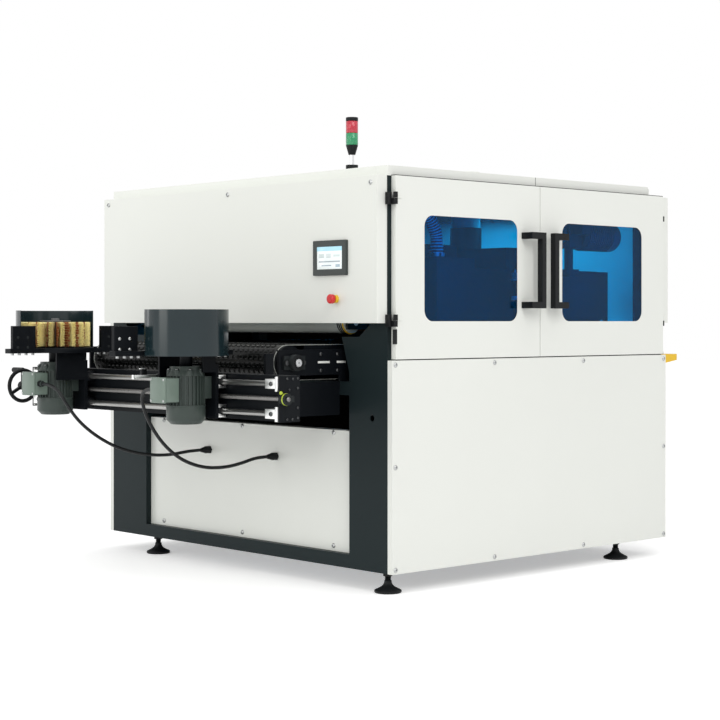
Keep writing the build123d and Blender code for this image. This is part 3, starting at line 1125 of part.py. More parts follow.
# Screw jacks hung from the top side beams, joined by a cross shaft, the right one with its motor
with BuildPart() as lift_jacks:
    for side in (-1, 1):
        box_x = sided(side, JACK_X - JACK_BOX_WIDTH / 2, JACK_X + JACK_BOX_WIDTH / 2)
        box_y = (JACK_Y - JACK_BOX_WIDTH / 2, JACK_Y + JACK_BOX_WIDTH / 2)
        block(box_x, box_y, (JACK_BOX_BOTTOM, JACK_BOX_TOP))
        hanger_x = sided(side, JACK_X + JACK_BOX_WIDTH / 2, FRAME_HALF_WIDTH)
        hanger_y = (JACK_Y - JACK_HANGER_WIDTH / 2, JACK_Y + JACK_HANGER_WIDTH / 2)
        block(hanger_x, hanger_y, (JACK_BOX_TOP - JACK_HANGER_WIDTH, BODY_TOP - TOP_BEAM))
        bore = JACK_SCREW_RADIUS + RUNNING_CLEARANCE
        rod("Z", (side * JACK_X, JACK_Y), (JACK_BOX_BOTTOM, JACK_BOX_TOP), bore, mode=Mode.SUBTRACT)
    motor_y = (JACK_Y + JACK_BOX_WIDTH / 2, JACK_Y + JACK_BOX_WIDTH / 2 + JACK_MOTOR_LENGTH)
    rod("Y", (JACK_X, JACK_MOTOR_Z), motor_y, JACK_MOTOR_RADIUS)
save(lift_jacks, "lift_jacks")
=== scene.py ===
import json
import math
import random

import bmesh
import bpy
from mathutils import Matrix, Vector


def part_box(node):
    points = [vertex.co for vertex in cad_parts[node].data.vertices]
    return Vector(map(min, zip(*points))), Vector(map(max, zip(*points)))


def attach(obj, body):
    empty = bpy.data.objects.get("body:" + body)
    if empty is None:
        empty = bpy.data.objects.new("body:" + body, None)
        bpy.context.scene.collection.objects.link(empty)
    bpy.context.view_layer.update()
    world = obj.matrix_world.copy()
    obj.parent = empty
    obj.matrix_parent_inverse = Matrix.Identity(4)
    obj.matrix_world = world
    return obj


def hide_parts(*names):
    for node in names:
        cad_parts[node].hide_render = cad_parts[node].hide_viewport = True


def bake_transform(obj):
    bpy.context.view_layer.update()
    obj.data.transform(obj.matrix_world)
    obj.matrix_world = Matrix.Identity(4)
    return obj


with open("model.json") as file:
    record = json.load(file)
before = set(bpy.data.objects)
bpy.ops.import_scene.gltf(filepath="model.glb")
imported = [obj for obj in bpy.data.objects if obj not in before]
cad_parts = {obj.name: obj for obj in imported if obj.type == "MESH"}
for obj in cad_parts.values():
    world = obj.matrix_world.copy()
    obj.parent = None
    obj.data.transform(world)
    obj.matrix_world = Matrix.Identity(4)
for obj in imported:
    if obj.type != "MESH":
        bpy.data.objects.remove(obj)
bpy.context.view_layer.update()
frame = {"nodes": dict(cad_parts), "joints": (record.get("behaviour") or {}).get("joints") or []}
nodes = frame["nodes"]

# Photo studio: a pale seamless floor, soft white surroundings and a level camera that looks at the
# infeed corner of the machine. None of it belongs to the machine.
FLOOR_SIZE = 60.0
FLOOR_SHADE = 0.86
FLOOR_ROUGHNESS = 0.7
FLOOR_GLOW = 0.42
SURROUND_LIGHT = 0.66
WHITE_LIGHT = (1.0, 1.0, 1.0, 1.0)
CAMERA_PLACE = (5.3003, -4.7243, 0.989)
CAMERA_HEADING = 47.5
CAMERA_LENS = 84.5
CAMERA_SHIFT = -0.0542
SOFT_BOXES = (
    ("key_light", (6.5, -2.5, 5.2), (0.6, 0.2, 0.9), (4.0, 4.0), 190.0, (1.0, 0.99, 0.97)),
    ("front_light", (-0.6, -7.4, 2.8), (0.1, -0.8, 0.8), (3.0, 4.0), 114.0, (0.99, 1.0, 0.95)),
    ("strip_light", (-4.1, -3.1, 1.3), (0.4, -1.1, 0.95), (0.35, 2.8), 10.0, (1.0, 1.0, 1.0)),
    ("roof_light", (0.5, 0.5, 6.5), (0.0, 0.0, 0.0), (5.0, 5.0), 110.0, (1.0, 1.0, 1.0)),
    ("cabinet_light", (0.1, 0.75, 1.47), (0.1, 0.85, 0.9), (1.0, 0.3), 4.2, (1.0, 1.0, 1.0)),
)


def feed(material, node, *sources, **sockets):
    """Feed a shader node's inputs: in order from other nodes' outputs, or by name from outputs or values."""
    for source, socket in zip(sources, node.inputs):
        material.node_tree.links.new(source, socket)
    for name, value in sockets.items():
        socket = node.inputs[name.replace("_", " ")]
        if isinstance(value, bpy.types.NodeSocket):
            material.node_tree.links.new(value, socket)
        else:
            socket.default_value = value
    return node


def add_node(material, kind, *sources, **sockets):
    """Add a shader node and feed its inputs."""
    return feed(material, material.node_tree.nodes.new("ShaderNode" + kind), *sources, **sockets)


def seen_directly(material):
    """1 for what the camera sees, straight, mirrored or through a pane, and 0 for lighting."""
    path = add_node(material, "LightPath")
    direct = path.outputs["Is Camera Ray"]
    for kind in ("Is Glossy Ray", "Is Transmission Ray"):
        either = add_node(material, "Math", direct, path.outputs[kind])
        either.operation = "MAXIMUM"
        direct = either.outputs[0]
    return direct


def new_material(name):
    """A new material and its main shader."""
    material = bpy.data.materials.new(name)
    material.use_nodes = True
    return material, material.node_tree.nodes["Principled BSDF"]


world = bpy.data.worlds.new("studio")
bpy.context.scene.world = world
world.use_nodes = True
backdrop = add_node(world, "Background", Color=WHITE_LIGHT, Strength=1.0)
lighting = feed(world, world.node_tree.nodes["Background"], Color=WHITE_LIGHT, Strength=SURROUND_LIGHT)
choice = add_node(world, "MixShader", seen_directly(world), lighting.outputs[0], backdrop.outputs[0])
feed(world, world.node_tree.nodes["World Output"], Surface=choice.outputs[0])

floor_paper, paper = new_material("floor_paper")
feed(floor_paper, paper, Base_Color=(*[FLOOR_SHADE] * 3, 1.0), Roughness=FLOOR_ROUGHNESS)
glow = add_node(floor_paper, "Emission", Color=WHITE_LIGHT, Strength=FLOOR_GLOW)
lit_paper = add_node(floor_paper, "AddShader", paper.outputs[0], glow.outputs[0]).outputs[0]
floor_look = add_node(floor_paper, "MixShader", seen_directly(floor_paper), paper.outputs[0], lit_paper)
feed(floor_paper, floor_paper.node_tree.nodes["Material Output"], Surface=floor_look.outputs[0])
floor_mesh = bpy.data.meshes.new("floor")
floor_corners = [(x * FLOOR_SIZE / 2, y * FLOOR_SIZE / 2, 0) for x, y in ((-1, -1), (1, -1), (1, 1), (-1, 1))]
floor_mesh.from_pydata(floor_corners, [], [(0, 1, 2, 3)])
floor_mesh.materials.append(floor_paper)
floor = bpy.data.objects.new("floor", floor_mesh)
bpy.context.scene.collection.objects.link(floor)

for light_name, place, aim, spread, power, tint in SOFT_BOXES:
    lamp = bpy.data.lights.new(light_name, "AREA")
    lamp.shape = "RECTANGLE"
    lamp.size, lamp.size_y = spread
    lamp.energy = power
    lamp.color = tint
    soft_box = bpy.data.objects.new(light_name, lamp)
    soft_box.location = place
    soft_box.rotation_euler = (Vector(aim) - Vector(place)).to_track_quat("-Z", "Y").to_euler()
    soft_box.visible_camera = False
    bpy.context.scene.collection.objects.link(soft_box)

camera_data = bpy.data.cameras.new("photo_camera")
camera_data.lens = CAMERA_LENS
camera_data.shift_y = CAMERA_SHIFT
camera = bpy.data.objects.new("photo_camera", camera_data)
camera.location = CAMERA_PLACE
camera.rotation_euler = (math.radians(90), 0, math.radians(CAMERA_HEADING))
bpy.context.scene.collection.objects.link(camera)
bpy.context.scene.camera = camera
bpy.context.scene.view_settings.view_transform = "Standard"

# Welded frame: posts folded from plate with shoulders beside the infeed, and box beams between them.
# Mild steel in a dark grey-green powder coat with a fine orange peel.
ANTHRACITE = (0.013, 0.021, 0.023)
COAT_ROUGHNESS = 0.15
GRAIN_STRENGTH = 0.6
CLOUD_RANGE = (0.3, 0.7)
POST_EDGE = 0.003
SEAM_GAP = 0.00002
FLAT_ANGLE = math.radians(0.5)
SHARP_ANGLE = math.radians(50)


def surface(name, colour, drift, patch, rough, grain, relief, metal=0.0, coat=0.0, shine=0.5, stretch=None):
    """Material whose colour drifts over patches of a given size, with an uneven gloss and a fine grain
    in relief. Patch, grain and relief are in metres, and rough is the lowest and highest roughness."""
    material, shader = new_material(name)
    feed(material, shader, Metallic=metal, Specular_IOR_Level=shine)
    feed(material, shader, Coat_Weight=coat, Coat_Roughness=COAT_ROUGHNESS)
    place = add_node(material, "TexCoord").outputs["Object"]
    place = add_node(material, "Mapping", Vector=place, Scale=stretch or (1, 1, 1)).outputs["Vector"]
    cloud = add_node(material, "TexNoise", Vector=place, Scale=1 / patch, Detail=4.0).outputs["Fac"]
    shades = add_node(material, "ValToRGB", Fac=cloud)
    for element, position, change in zip(shades.color_ramp.elements, CLOUD_RANGE, (1 - drift, 1 + drift)):
        element.position = position
        element.color = (*(part * change for part in colour), 1.0)
    gloss = add_node(material, "MapRange", Value=cloud, From_Min=CLOUD_RANGE[0], From_Max=CLOUD_RANGE[1])
    feed(material, gloss, To_Min=rough[0], To_Max=rough[1])
    speck = add_node(material, "TexNoise", Vector=place, Scale=1 / grain, Detail=2.0).outputs["Fac"]
    bump = add_node(material, "Bump", Height=speck, Strength=GRAIN_STRENGTH, Distance=relief)
    feed(material, shader, Base_Color=shades.outputs["Color"], Roughness=gloss.outputs["Result"])
    feed(material, shader, Normal=bump.outputs["Normal"])
    return material


def dress(material, *names, edge=0.0):
    """Give CAD nodes a finished material in place of the plain one they came with. Where an edge width
    is given, join their seams and round sharp edges, as folding, casting or grinding leaves them."""
    for name in names:
        node = nodes[name]
        node.data.materials.clear()
        node.data.materials.append(material)
        if edge:
            weld = node.modifiers.new("seams", "WELD")
            weld.merge_threshold = SEAM_GAP
            flat = node.modifiers.new("faces", "DECIMATE")
            flat.decimate_type = "DISSOLVE"
            flat.angle_limit = FLAT_ANGLE
            bevel = node.modifiers.new("edges", "BEVEL")
            bevel.width = edge
            bevel.segments = 2
            bevel.limit_method = "ANGLE"
            bevel.angle_limit = SHARP_ANGLE
            bevel.harden_normals = True


anthracite = surface("anthracite_coat", ANTHRACITE, 0.06, 0.4, (0.34, 0.42), 0.0012, 0.00012, shine=0.1)
dress(anthracite, "frame_posts", edge=POST_EDGE)
dress(anthracite, "frame_beams")

# Levelling feet: a black moulded pad with a flared neck, a threaded black stem and its lock nut.
# Turned pieces, one under each corner that the machine stands on.
PAD_RADIUS = 0.050
STEM_RADIUS = 0.0115
THREAD_PITCH = 0.0025
THREAD_CUT = 0.0013
STEM_TOP = 0.074
LEFT_FOOT_X = -0.593
PAD = [
    (0, 0), (0.047, 0), (PAD_RADIUS, 0.002), (PAD_RADIUS, 0.009), (0.047, 0.0115), (0.036, 0.0165),
    (0.025, 0.0225), (0.018, 0.029), (0.0145, 0.036), (0.0135, 0.044), (0.0125, 0.045), (0, 0.045),
]
NUT = [(0.0098, 0.060), (0.017, 0.060), (0.018, 0.0615), (0.018, 0.0725), (0.017, 0.074), (0.0098, 0.074)]
BLACK_PLASTIC = (0.010, 0.011, 0.012)
ZINC = (0.46, 0.47, 0.47)
UP = (0, 0, 1)


def placed(name, mesh, material, body):
    """Put a mesh in the scene as a piece that rides on a body."""
    mesh.materials.append(material)
    thing = bpy.data.objects.new(name, mesh)
    bpy.context.scene.collection.objects.link(thing)
    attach(thing, body)
    return thing


def made(name, shape, material, body, sharp=32):
    """Turn a finished bmesh into a piece, shaded smooth but for edges sharper than an angle in degrees."""
    bmesh.ops.recalc_face_normals(shape, faces=shape.faces)
    mesh = bpy.data.meshes.new(name)
    shape.to_mesh(mesh)
    shape.free()
    mesh.shade_smooth()
    mesh.set_sharp_from_angle(angle=math.radians(sharp))
    return placed(name, mesh, material, body)


def circle(steps, radius=1.0, shift=0.0):
    """Places evenly round a circle as (across, along) pairs, turned on by a share of a step."""
    turns = [math.tau * (step + shift) / steps for step in range(steps)]
    return [(radius * math.cos(turn), radius * math.sin(turn)) for turn in turns]


def add_turned(shape, profile, spot, axis, steps=24):
    """Add a round form to a bmesh: a profile of (radius, travel) points spun about an axis at a spot."""
    turn = Vector(UP).rotation_difference(Vector(axis)).to_matrix().to_4x4()
    place = Matrix.Translation(spot) @ turn
    rings = []
    for radius, travel in profile:
        around = circle(steps if radius else 1, radius)
        rings.append([shape.verts.new(place @ Vector((*corner, travel))) for corner in around])
    for near, far in zip(rings, rings[1:]):
        for step in range(steps):
            following = (step + 1) % steps
            corners = [near[step % len(near)], near[following % len(near)]]
            corners += [far[following % len(far)], far[step % len(far)]]
            corners = list(dict.fromkeys(corners))
            if len(corners) > 2:
                shape.faces.new(corners)


def turned(name, profile, spots, axis, material, body, steps=24):
    """One piece made of like turned forms, one at each spot and all facing along one axis."""
    shape = bmesh.new()
    for spot in spots:
        add_turned(shape, profile, spot, axis, steps)
    return made(name, shape, material, body)


def threaded(radius, low, high, pitch, depth):
    """Profile points of a threaded stem between two heights."""
    points = []
    for turn in range(round((high - low) / pitch)):
        points.append((radius, low + turn * pitch))
        points.append((radius - depth, low + (turn + 0.5) * pitch))
    return points


black_plastic = surface("black_plastic", BLACK_PLASTIC, 0.10, 0.05, (0.38, 0.5), 0.0009, 0.0001, shine=0.15)
zinc_plate = surface("zinc_plate", ZINC, 0.10, 0.02, (0.26, 0.4), 0.002, 0.00004, metal=1.0)
feet_low, feet_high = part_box("levelling_feet")
foot_columns = (feet_high.x - PAD_RADIUS, LEFT_FOOT_X, feet_high.x - PAD_RADIUS, feet_low.x + PAD_RADIUS)
foot_rows = [feet_low.y + PAD_RADIUS] * 2 + [feet_high.y - PAD_RADIUS] * 2
foot_spots = [(x, y, 0) for x, y in zip(foot_columns, foot_rows)]
foot_pads = turned("foot_pads", PAD, foot_spots, UP, black_plastic, "frame", 40)
stem = [(0, 0.043), (STEM_RADIUS, 0.044)]
stem += threaded(STEM_RADIUS, 0.045, STEM_TOP, THREAD_PITCH, THREAD_CUT) + [(0, STEM_TOP)]
turned("foot_stems", stem, foot_spots, UP, black_plastic, "frame", 20)
turned("foot_nuts", NUT, foot_spots, UP, black_plastic, "frame", 6)
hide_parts("levelling_feet")

# Sheet panels: lower panels on three sides, upper panels of the far side, end covers and roof trays.
# Folded 2 mm sheet in an off-white powder coat.
WHITE = (0.80, 0.815, 0.775)
SHEET_EDGE = 0.0009

white_coat = surface("white_coat", WHITE, 0.012, 0.9, (0.30, 0.36), 0.0011, 0.00008)
dress(white_coat, "front_lower_panel", "side_panels", "rear_panels", "front_cover", "roof_covers",
      edge=SHEET_EDGE)
dress(white_coat, "dust_outlet")

# Black sheet inside the side panels, up to the sills of the windows: painted shade, which darkens the inside
# of the machine's body where it lies in shadow.
# Cut to fit inside the folded edges of each tray.
LOWER_PANEL_TOP = 0.846
TRAY_EDGE = 0.004
PANEL_SHEET = 0.002
LINING = 0.006
BLOCK_EDGE = 0.001
THIN_EDGE = 0.0006
SILL = 0.975
PAINTED_SHADE_BLACK = (0.006, 0.006, 0.006)


def add_block(shape, corner, opposite, edge=BLOCK_EDGE, spot=(0, 0, 0)):
    """Add a block with rounded edges to a bmesh, between two opposite corners counted from a spot."""
    corner, opposite = Vector(corner) + Vector(spot), Vector(opposite) + Vector(spot)
    size = Matrix.Diagonal((*(abs(part) for part in opposite - corner), 1))
    cube = bmesh.ops.create_cube(shape, size=1, matrix=Matrix.Translation((corner + opposite) / 2) @ size)
    if edge:
        edges = list({line for corner in cube["verts"] for line in corner.link_edges})
        bmesh.ops.bevel(shape, geom=edges, offset=edge, segments=2, profile=0.5, affect="EDGES")


# Flat black with no gloss: painted shade for the dim inside of the body.
shade_lining = surface("shade_lining", PAINTED_SHADE_BLACK, 0.2, 0.01, (0.9, 1.0), 0.002, 0.0006, shine=0.05)
panel_low, panel_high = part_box("side_panels")
lining_face = panel_high.x - PANEL_SHEET
lower_span = (panel_low.z, LOWER_PANEL_TOP)
upper_span = (LOWER_PANEL_TOP + TRAY_EDGE, SILL)
lining_shape = bmesh.new()
for side, (bottom, top) in ((-1, lower_span), (-1, upper_span), (1, lower_span)):
    inner = (side * (lining_face - LINING), panel_low.y + TRAY_EDGE, bottom + TRAY_EDGE)
    outer = (side * lining_face, panel_high.y - TRAY_EDGE, top - TRAY_EDGE)
    add_block(lining_shape, inner, outer)
made("painted_shade_lining", lining_shape, shade_lining, "frame")

# Button-head screws with a hexagon socket that hold the panels to the frame.
# Zinc plated steel, about 19 mm across the head.
SCREW_EDGE = 0.016
COVER_SCREW_EDGE = 0.034
COVER_SCREW_DROP = 0.025
RECESS_SCREW_EDGES = (0.095, 0.115)
RECESS_SCREW_RISES = (0.02, 0.011)
REAR_PANEL_FACE = 1.045


def button_head(radius, height):
    """Profile of a domed screw head with a socket sunk in its top."""
    shares = [(0.92, 0), (1, 0.15), (0.94, 0.45), (0.74, 0.82), (0.46, 1), (0.42, 1), (0.40, 0.35), (0, 0.35)]
    return [(radius * across, height * rise) for across, rise in shares]


cover_low, cover_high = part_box("front_cover")
rear_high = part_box("rear_panels")[1]
recess_low, recess_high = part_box("front_lower_panel")
lower_rows = (panel_low.z + SCREW_EDGE, LOWER_PANEL_TOP - SCREW_EDGE)
column_span = panel_high.y - panel_low.y - 2 * SCREW_EDGE
lower_columns = [panel_low.y + SCREW_EDGE + column_span * step / 3 for step in range(4)]
side_spots = [(y, z) for y in lower_columns for z in lower_rows]
side_spots += [(y, sum(lower_rows) / 2) for y in (lower_columns[0], lower_columns[-1])]
cover_columns = (cover_low.x + COVER_SCREW_EDGE, 0.0, cover_high.x - COVER_SCREW_EDGE)
cover_spots = [(x, cover_high.z - COVER_SCREW_DROP) for x in cover_columns]
recess_columns = (recess_low.x + RECESS_SCREW_EDGES[0], 0.0, recess_high.x - RECESS_SCREW_EDGES[1])
recess_rows = (recess_low.z + RECESS_SCREW_RISES[0], recess_high.z - RECESS_SCREW_RISES[1])
recess_spots = [(x, z) for x in recess_columns for z in recess_rows]
screw_shape = bmesh.new()
screw_head = button_head(0.0094, 0.0050)
for side, face in ((1, panel_high.x), (-1, panel_low.x)):
    for y, z in side_spots:
        add_turned(screw_shape, screw_head, (face, y, z), (side, 0, 0), 18)
for end, cover_face, recess_face in ((-1, cover_low.y, recess_low.y), (1, rear_high.y, REAR_PANEL_FACE)):
    for face, spots in ((cover_face, cover_spots), (recess_face, recess_spots)):
        for x, z in spots:
            add_turned(screw_shape, screw_head, (x, face, z), (0, end, 0), 18)
made("panel_screws", screw_shape, zinc_plate, "frame")

# Conveyor frame: two black side plates on a bed, with tensioner slots and bolts outside each end.
# The bolts are dark zinc, and white coated strips close the slots.
BLACK_COAT = (0.0050, 0.0062, 0.0080)
DARK_ZINC = (0.080, 0.083, 0.085)
PLATE_FACE = 0.612
BOLT_OFFSETS = ((0.133, 0.030), (0.215, 0.030), (0.133, -0.030), (0.215, -0.030))
SLOT_SPANS = ((0.119, 0.176), (0.212, 0.257))
SLOT_HALF = 0.004
STRIP_PROUD = 0.002

black_coat = surface("black_coat", BLACK_COAT, 0.08, 0.2, (0.36, 0.46), 0.001, 0.0001, shine=0.09)
dark_zinc = surface("dark_zinc", DARK_ZINC, 0.10, 0.02, (0.3, 0.42), 0.002, 0.00004, metal=1.0)
dress(black_coat, "conveyor_frame", edge=0.0012)
pivot = {joint["name"]: Vector(joint["pos_m"]) for joint in frame["joints"] if "pos_m" in joint}
nose = pivot["nose_roller_spin"]
drive = pivot["drive_roller_spin"]
plate_bolt = button_head(0.0075, 0.006)
plate_bolts = bmesh.new()
slot_strips = bmesh.new()
for side in (-1, 1):
    for axis_y, inward in ((nose.y, 1), (drive.y, -1)):
        for along, rise in BOLT_OFFSETS:
            spot = (side * PLATE_FACE, axis_y + inward * along, nose.z + rise)
            add_turned(plate_bolts, plate_bolt, spot, (side, 0, 0), 16)
        for start, end in SLOT_SPANS:
            inner = (side * PLATE_FACE, axis_y + inward * start, nose.z - SLOT_HALF)
            outer = (side * (PLATE_FACE + STRIP_PROUD), axis_y + inward * end, nose.z + SLOT_HALF)
            add_block(slot_strips, inner, outer, THIN_EDGE)
made("side_plate_bolts", plate_bolts, dark_zinc, "frame")
made("tension_slot_bars", slot_strips, white_coat, "frame")

# Conveyor belt: black grip-top rubber on a woven carrier, with a pale band along each side that is partly its
# cut edge and partly a painted highlight.
# The grips are blunt studs in staggered rows all round the loop.
BELT_HALF = 0.580
BELT_OUTSIDE = 0.068
BELT_BACK = 0.063
STUD_HEIGHT = 0.0038
STUD_PITCH = 0.029
STUD_BASE = 0.0092
STUD_TIP = 0.0052
STUD_SUNK = 0.0004
STUD_MARGIN = 0.006
BELT_MARGIN = 0.01
EDGE_IN = 0.001
EDGE_OUT = 0.0012
EDGE_BAND = (0.0006, 0.0022)
BEND_STEPS = 40
BELT_BLACK = (0.003, 0.0036, 0.0034)
CARRIER_PALE_AND_HIGHLIGHT = (0.52, 0.54, 0.50)
straight = drive.y - nose.y
bend = math.pi * BELT_OUTSIDE
loop_length = 2 * (straight + bend)


def belt_point(travel, height):
    """Place on the belt's loop, as (y, z), at a distance round it and a height over the belt's back."""
    radius = BELT_BACK + height
    travel = travel % loop_length
    if travel < straight:
        return nose.y + travel, nose.z + radius
    travel -= straight
    if travel < bend:
        turn = travel / BELT_OUTSIDE
        return drive.y + radius * math.sin(turn), drive.z + radius * math.cos(turn)
    travel -= bend
    if travel < straight:
        return drive.y - travel, nose.z - radius
    turn = math.pi + (travel - straight) / BELT_OUTSIDE
    return nose.y + radius * math.sin(turn), nose.z + radius * math.cos(turn)


def add_skin(shape, rings, looped=False):
    """Skin rings of places, each joined to the next, and the last to the first or both ends capped."""
    rings = [[shape.verts.new(place) for place in ring] for ring in rings]
    beyond = rings[1:] + rings[:1] if looped else rings[1:]
    for ring, following in zip(rings, beyond):
        for step in range(len(ring)):
            beside = (step + 1) % len(ring)
            shape.faces.new((ring[step], ring[beside], following[beside], following[step]))
    if not looped:
        shape.faces.new(rings[0])
        shape.faces.new(rings[-1])


def add_band(shape, section):
    """Sweep a section of (x, height) corners round the belt's loop, in fine steps on its two bends."""
    bends = [bend * step / BEND_STEPS for step in range(BEND_STEPS)]
    rings = []
    for travel in [straight + part for part in bends] + [2 * straight + bend + part for part in bends]:
        rings.append([(x, *belt_point(travel, height)) for x, height in section])
    add_skin(shape, rings, looped=True)


def rectangle(near, far, low, high):
    """Corners of a four-cornered section or profile."""
    return [(near, low), (far, low), (far, high), (near, high)]


skin_top = BELT_OUTSIDE - BELT_BACK - STUD_HEIGHT
belt_shape = bmesh.new()
add_band(belt_shape, rectangle(-BELT_HALF, BELT_HALF, 0, skin_top))
belt_rubber = surface("belt_rubber", BELT_BLACK, 0.12, 0.03, (0.18, 0.3), 0.0012, 0.0002, shine=0.1)
belt_skin = made("belt_skin", belt_shape, belt_rubber, "frame")
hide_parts("conveyor_belt")

stud_rows = round(loop_length / STUD_PITCH)
stud_columns = round(2 * (BELT_HALF - BELT_MARGIN) / STUD_PITCH)
stud_corners = []
stud_faces = []
for row in range(stud_rows):
    for column in range(stud_columns):
        middle_x = (column + 0.25 + 0.5 * (row % 2)) * STUD_PITCH - BELT_HALF + STUD_MARGIN
        first = len(stud_corners)
        for height, half in ((skin_top - STUD_SUNK, STUD_BASE), (skin_top + STUD_HEIGHT, STUD_TIP)):
            for across, along in ((-1, -1), (1, -1), (1, 1), (-1, 1)):
                place = belt_point(row * loop_length / stud_rows + along * half, height)
                stud_corners.append((middle_x + across * half, *place))
        stud_faces.append((first + 4, first + 5, first + 6, first + 7))
        for step in range(4):
            beside = (step + 1) % 4
            stud_faces.append((first + step, first + beside, first + beside + 4, first + step + 4))
stud_mesh = bpy.data.meshes.new("belt_studs")
stud_mesh.from_pydata(stud_corners, [], stud_faces)
placed("belt_studs", stud_mesh, belt_rubber, "frame")

# Pale bands on both edges: the carrier's cut edge, and a painted highlight along the belt's edge.
edge_shape = bmesh.new()
for side in (-1, 1):
    add_band(edge_shape, rectangle(side * (BELT_HALF - EDGE_IN), side * (BELT_HALF + EDGE_OUT), *EDGE_BAND))
carrier = surface("belt_carrier_and_edge_highlight", CARRIER_PALE_AND_HIGHLIGHT, 0.12, 0.004, (0.7, 0.85), 0.0006, 0.0002)
made("belt_cut_edges_and_highlight", edge_shape, carrier, "frame")

# Rollers and flange bearings: black coated rollers with bright shaft ends, in cast iron housings that two
# bolts hold. The bearings of the lead screw have a lime grease cap and nipple.
TUBE_METAL = (0.60, 0.61, 0.62)
CAST_IRON = (0.015, 0.018, 0.019)
CAP_GREEN = (0.42, 0.52, 0.03)
SHAFT_END = [
    (0, 0.0015), (0.0020, 0.0015), (0.0025, 0.003), (0.0135, 0.003), (0.0152, 0.0018), (0.0152, -0.0050),
]
SHAFT_SUNK = 0.0028
BEARING_BOLT = [(0, 0), (0.010, 0), (0.010, 0.006), (0, 0.0065)]
BEARING_RING = [(0.0155, 0), (0.027, 0), (0.0275, 0.0015), (0.025, 0.0025), (0.0185, 0.0028), (0.0155, 0.002)]
BOLT_FACE = 0.622
RING_FACE = 0.6395
BOLT_SPREAD = 0.040
CAP = [(0.0098, 0), (0.0205, 0), (0.0215, 0.002), (0.0215, 0.007), (0.019, 0.009), (0.0098, 0.009)]
NIPPLE = [(0, 0), (0.006, 0), (0.006, 0.005), (0.0035, 0.009), (0, 0.009)]
NIPPLE_LEAN = (0, -0.5, 0.8)
CAP_OUT = 0.013
NIPPLE_OUT = 0.006
NIPPLE_FRONT = 0.0130
NIPPLE_RISE = 0.0190

turned_metal = surface("turned_metal", TUBE_METAL, 0.05, 0.01, (0.2, 0.32), 0.003, 0.00003,
                       metal=1.0, stretch=(30, 1, 1))
cast_iron = surface("cast_iron", CAST_IRON, 0.14, 0.05, (0.42, 0.58), 0.0016, 0.0003, shine=0.15)
dress(black_coat, "nose_roller", "drive_roller")
for name, axis in (("nose", nose), ("drive", drive)):
    roller_low, roller_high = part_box(f"{name}_roller")
    shaft_ends = bmesh.new()
    for side, end in ((1, roller_high.x), (-1, roller_low.x)):
        add_turned(shaft_ends, SHAFT_END, (end - side * SHAFT_SUNK, axis.y, nose.z), (side, 0, 0), 28)
    made(f"{name}_shaft_ends", shaft_ends, turned_metal, f"{name}_pulley")
dress(cast_iron, "flange_bearings", "lift_jacks", edge=0.0015)
bearing_bolts = bmesh.new()
bearing_seals = bmesh.new()
for side in (-1, 1):
    for axis in (nose, drive):
        for along in (-BOLT_SPREAD, BOLT_SPREAD):
            bolt_spot = (side * BOLT_FACE, axis.y + along, nose.z)
            add_turned(bearing_bolts, BEARING_BOLT, bolt_spot, (side, 0, 0), 6)
        add_turned(bearing_seals, BEARING_RING, (side * RING_FACE, axis.y, nose.z), (side, 0, 0), 32)
made("bearing_bolts", bearing_bolts, dark_zinc, "frame")
made("bearing_seals", bearing_seals, black_plastic, "frame")
screw_axis = pivot["width_screw_turn"]
cap_green = surface("grease_cap", CAP_GREEN, 0.08, 0.01, (0.3, 0.42), 0.001, 0.00005)
grease_caps = bmesh.new()
rail_low, rail_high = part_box("cross_rail")
rail_ends = ((-1, -rail_low.x), (1, rail_high.x))
for side, reach in rail_ends:
    cap_spot = (side * (reach + CAP_OUT), screw_axis.y, screw_axis.z)
    add_turned(grease_caps, CAP, cap_spot, (side, 0, 0), 32)
    nipple_spot = (side * (reach + NIPPLE_OUT), screw_axis.y - NIPPLE_FRONT, screw_axis.z + NIPPLE_RISE)
    add_turned(grease_caps, NIPPLE, nipple_spot, NIPPLE_LEAN, 14)
made("grease_caps", grease_caps, cap_green, "frame")

# Gear motor of the conveyor at the outfeed end, and the yellow sensor box with its black dome.
# A painted casting with cooling fins, and a moulded plastic box.
DRIVE_BLUE = (0.030, 0.048, 0.066)
YELLOW = (0.80, 0.50, 0.012)
GEAR_MOTOR_INSET = 0.068
FIN_DEPTH = 0.0045
FIN_ROOT = 0.002
FIN_TIP = 0.0016
GEAR_FINS = 9
GEAR_FIN_START = 0.075
GEAR_FIN_PITCH = 0.014
GEAR_FIN_RADIUS = 0.064
GEAR_COWL = [
    (0, -0.0005), (0.052, -0.0005), (0.061, 0.006), (0.0625, 0.012), (0.0625, 0.055), (0.0595, 0.056),
]
DOME = [(0.0155, -0.0005), (0.0155, 0.006), (0.0150, 0.010), (0.0125, 0.0150), (0.008, 0.0180), (0, 0.0190)]
DOME_X = 0.840
DOME_FROM_FRONT = 0.030
DOME_SUNK = 0.018


def fin(radius):
    """Profile of a thin cooling fin that runs round a barrel."""
    root = radius - FIN_DEPTH
    return [(root, -FIN_ROOT), (radius, -FIN_TIP), (radius, FIN_TIP), (root, FIN_ROOT)]


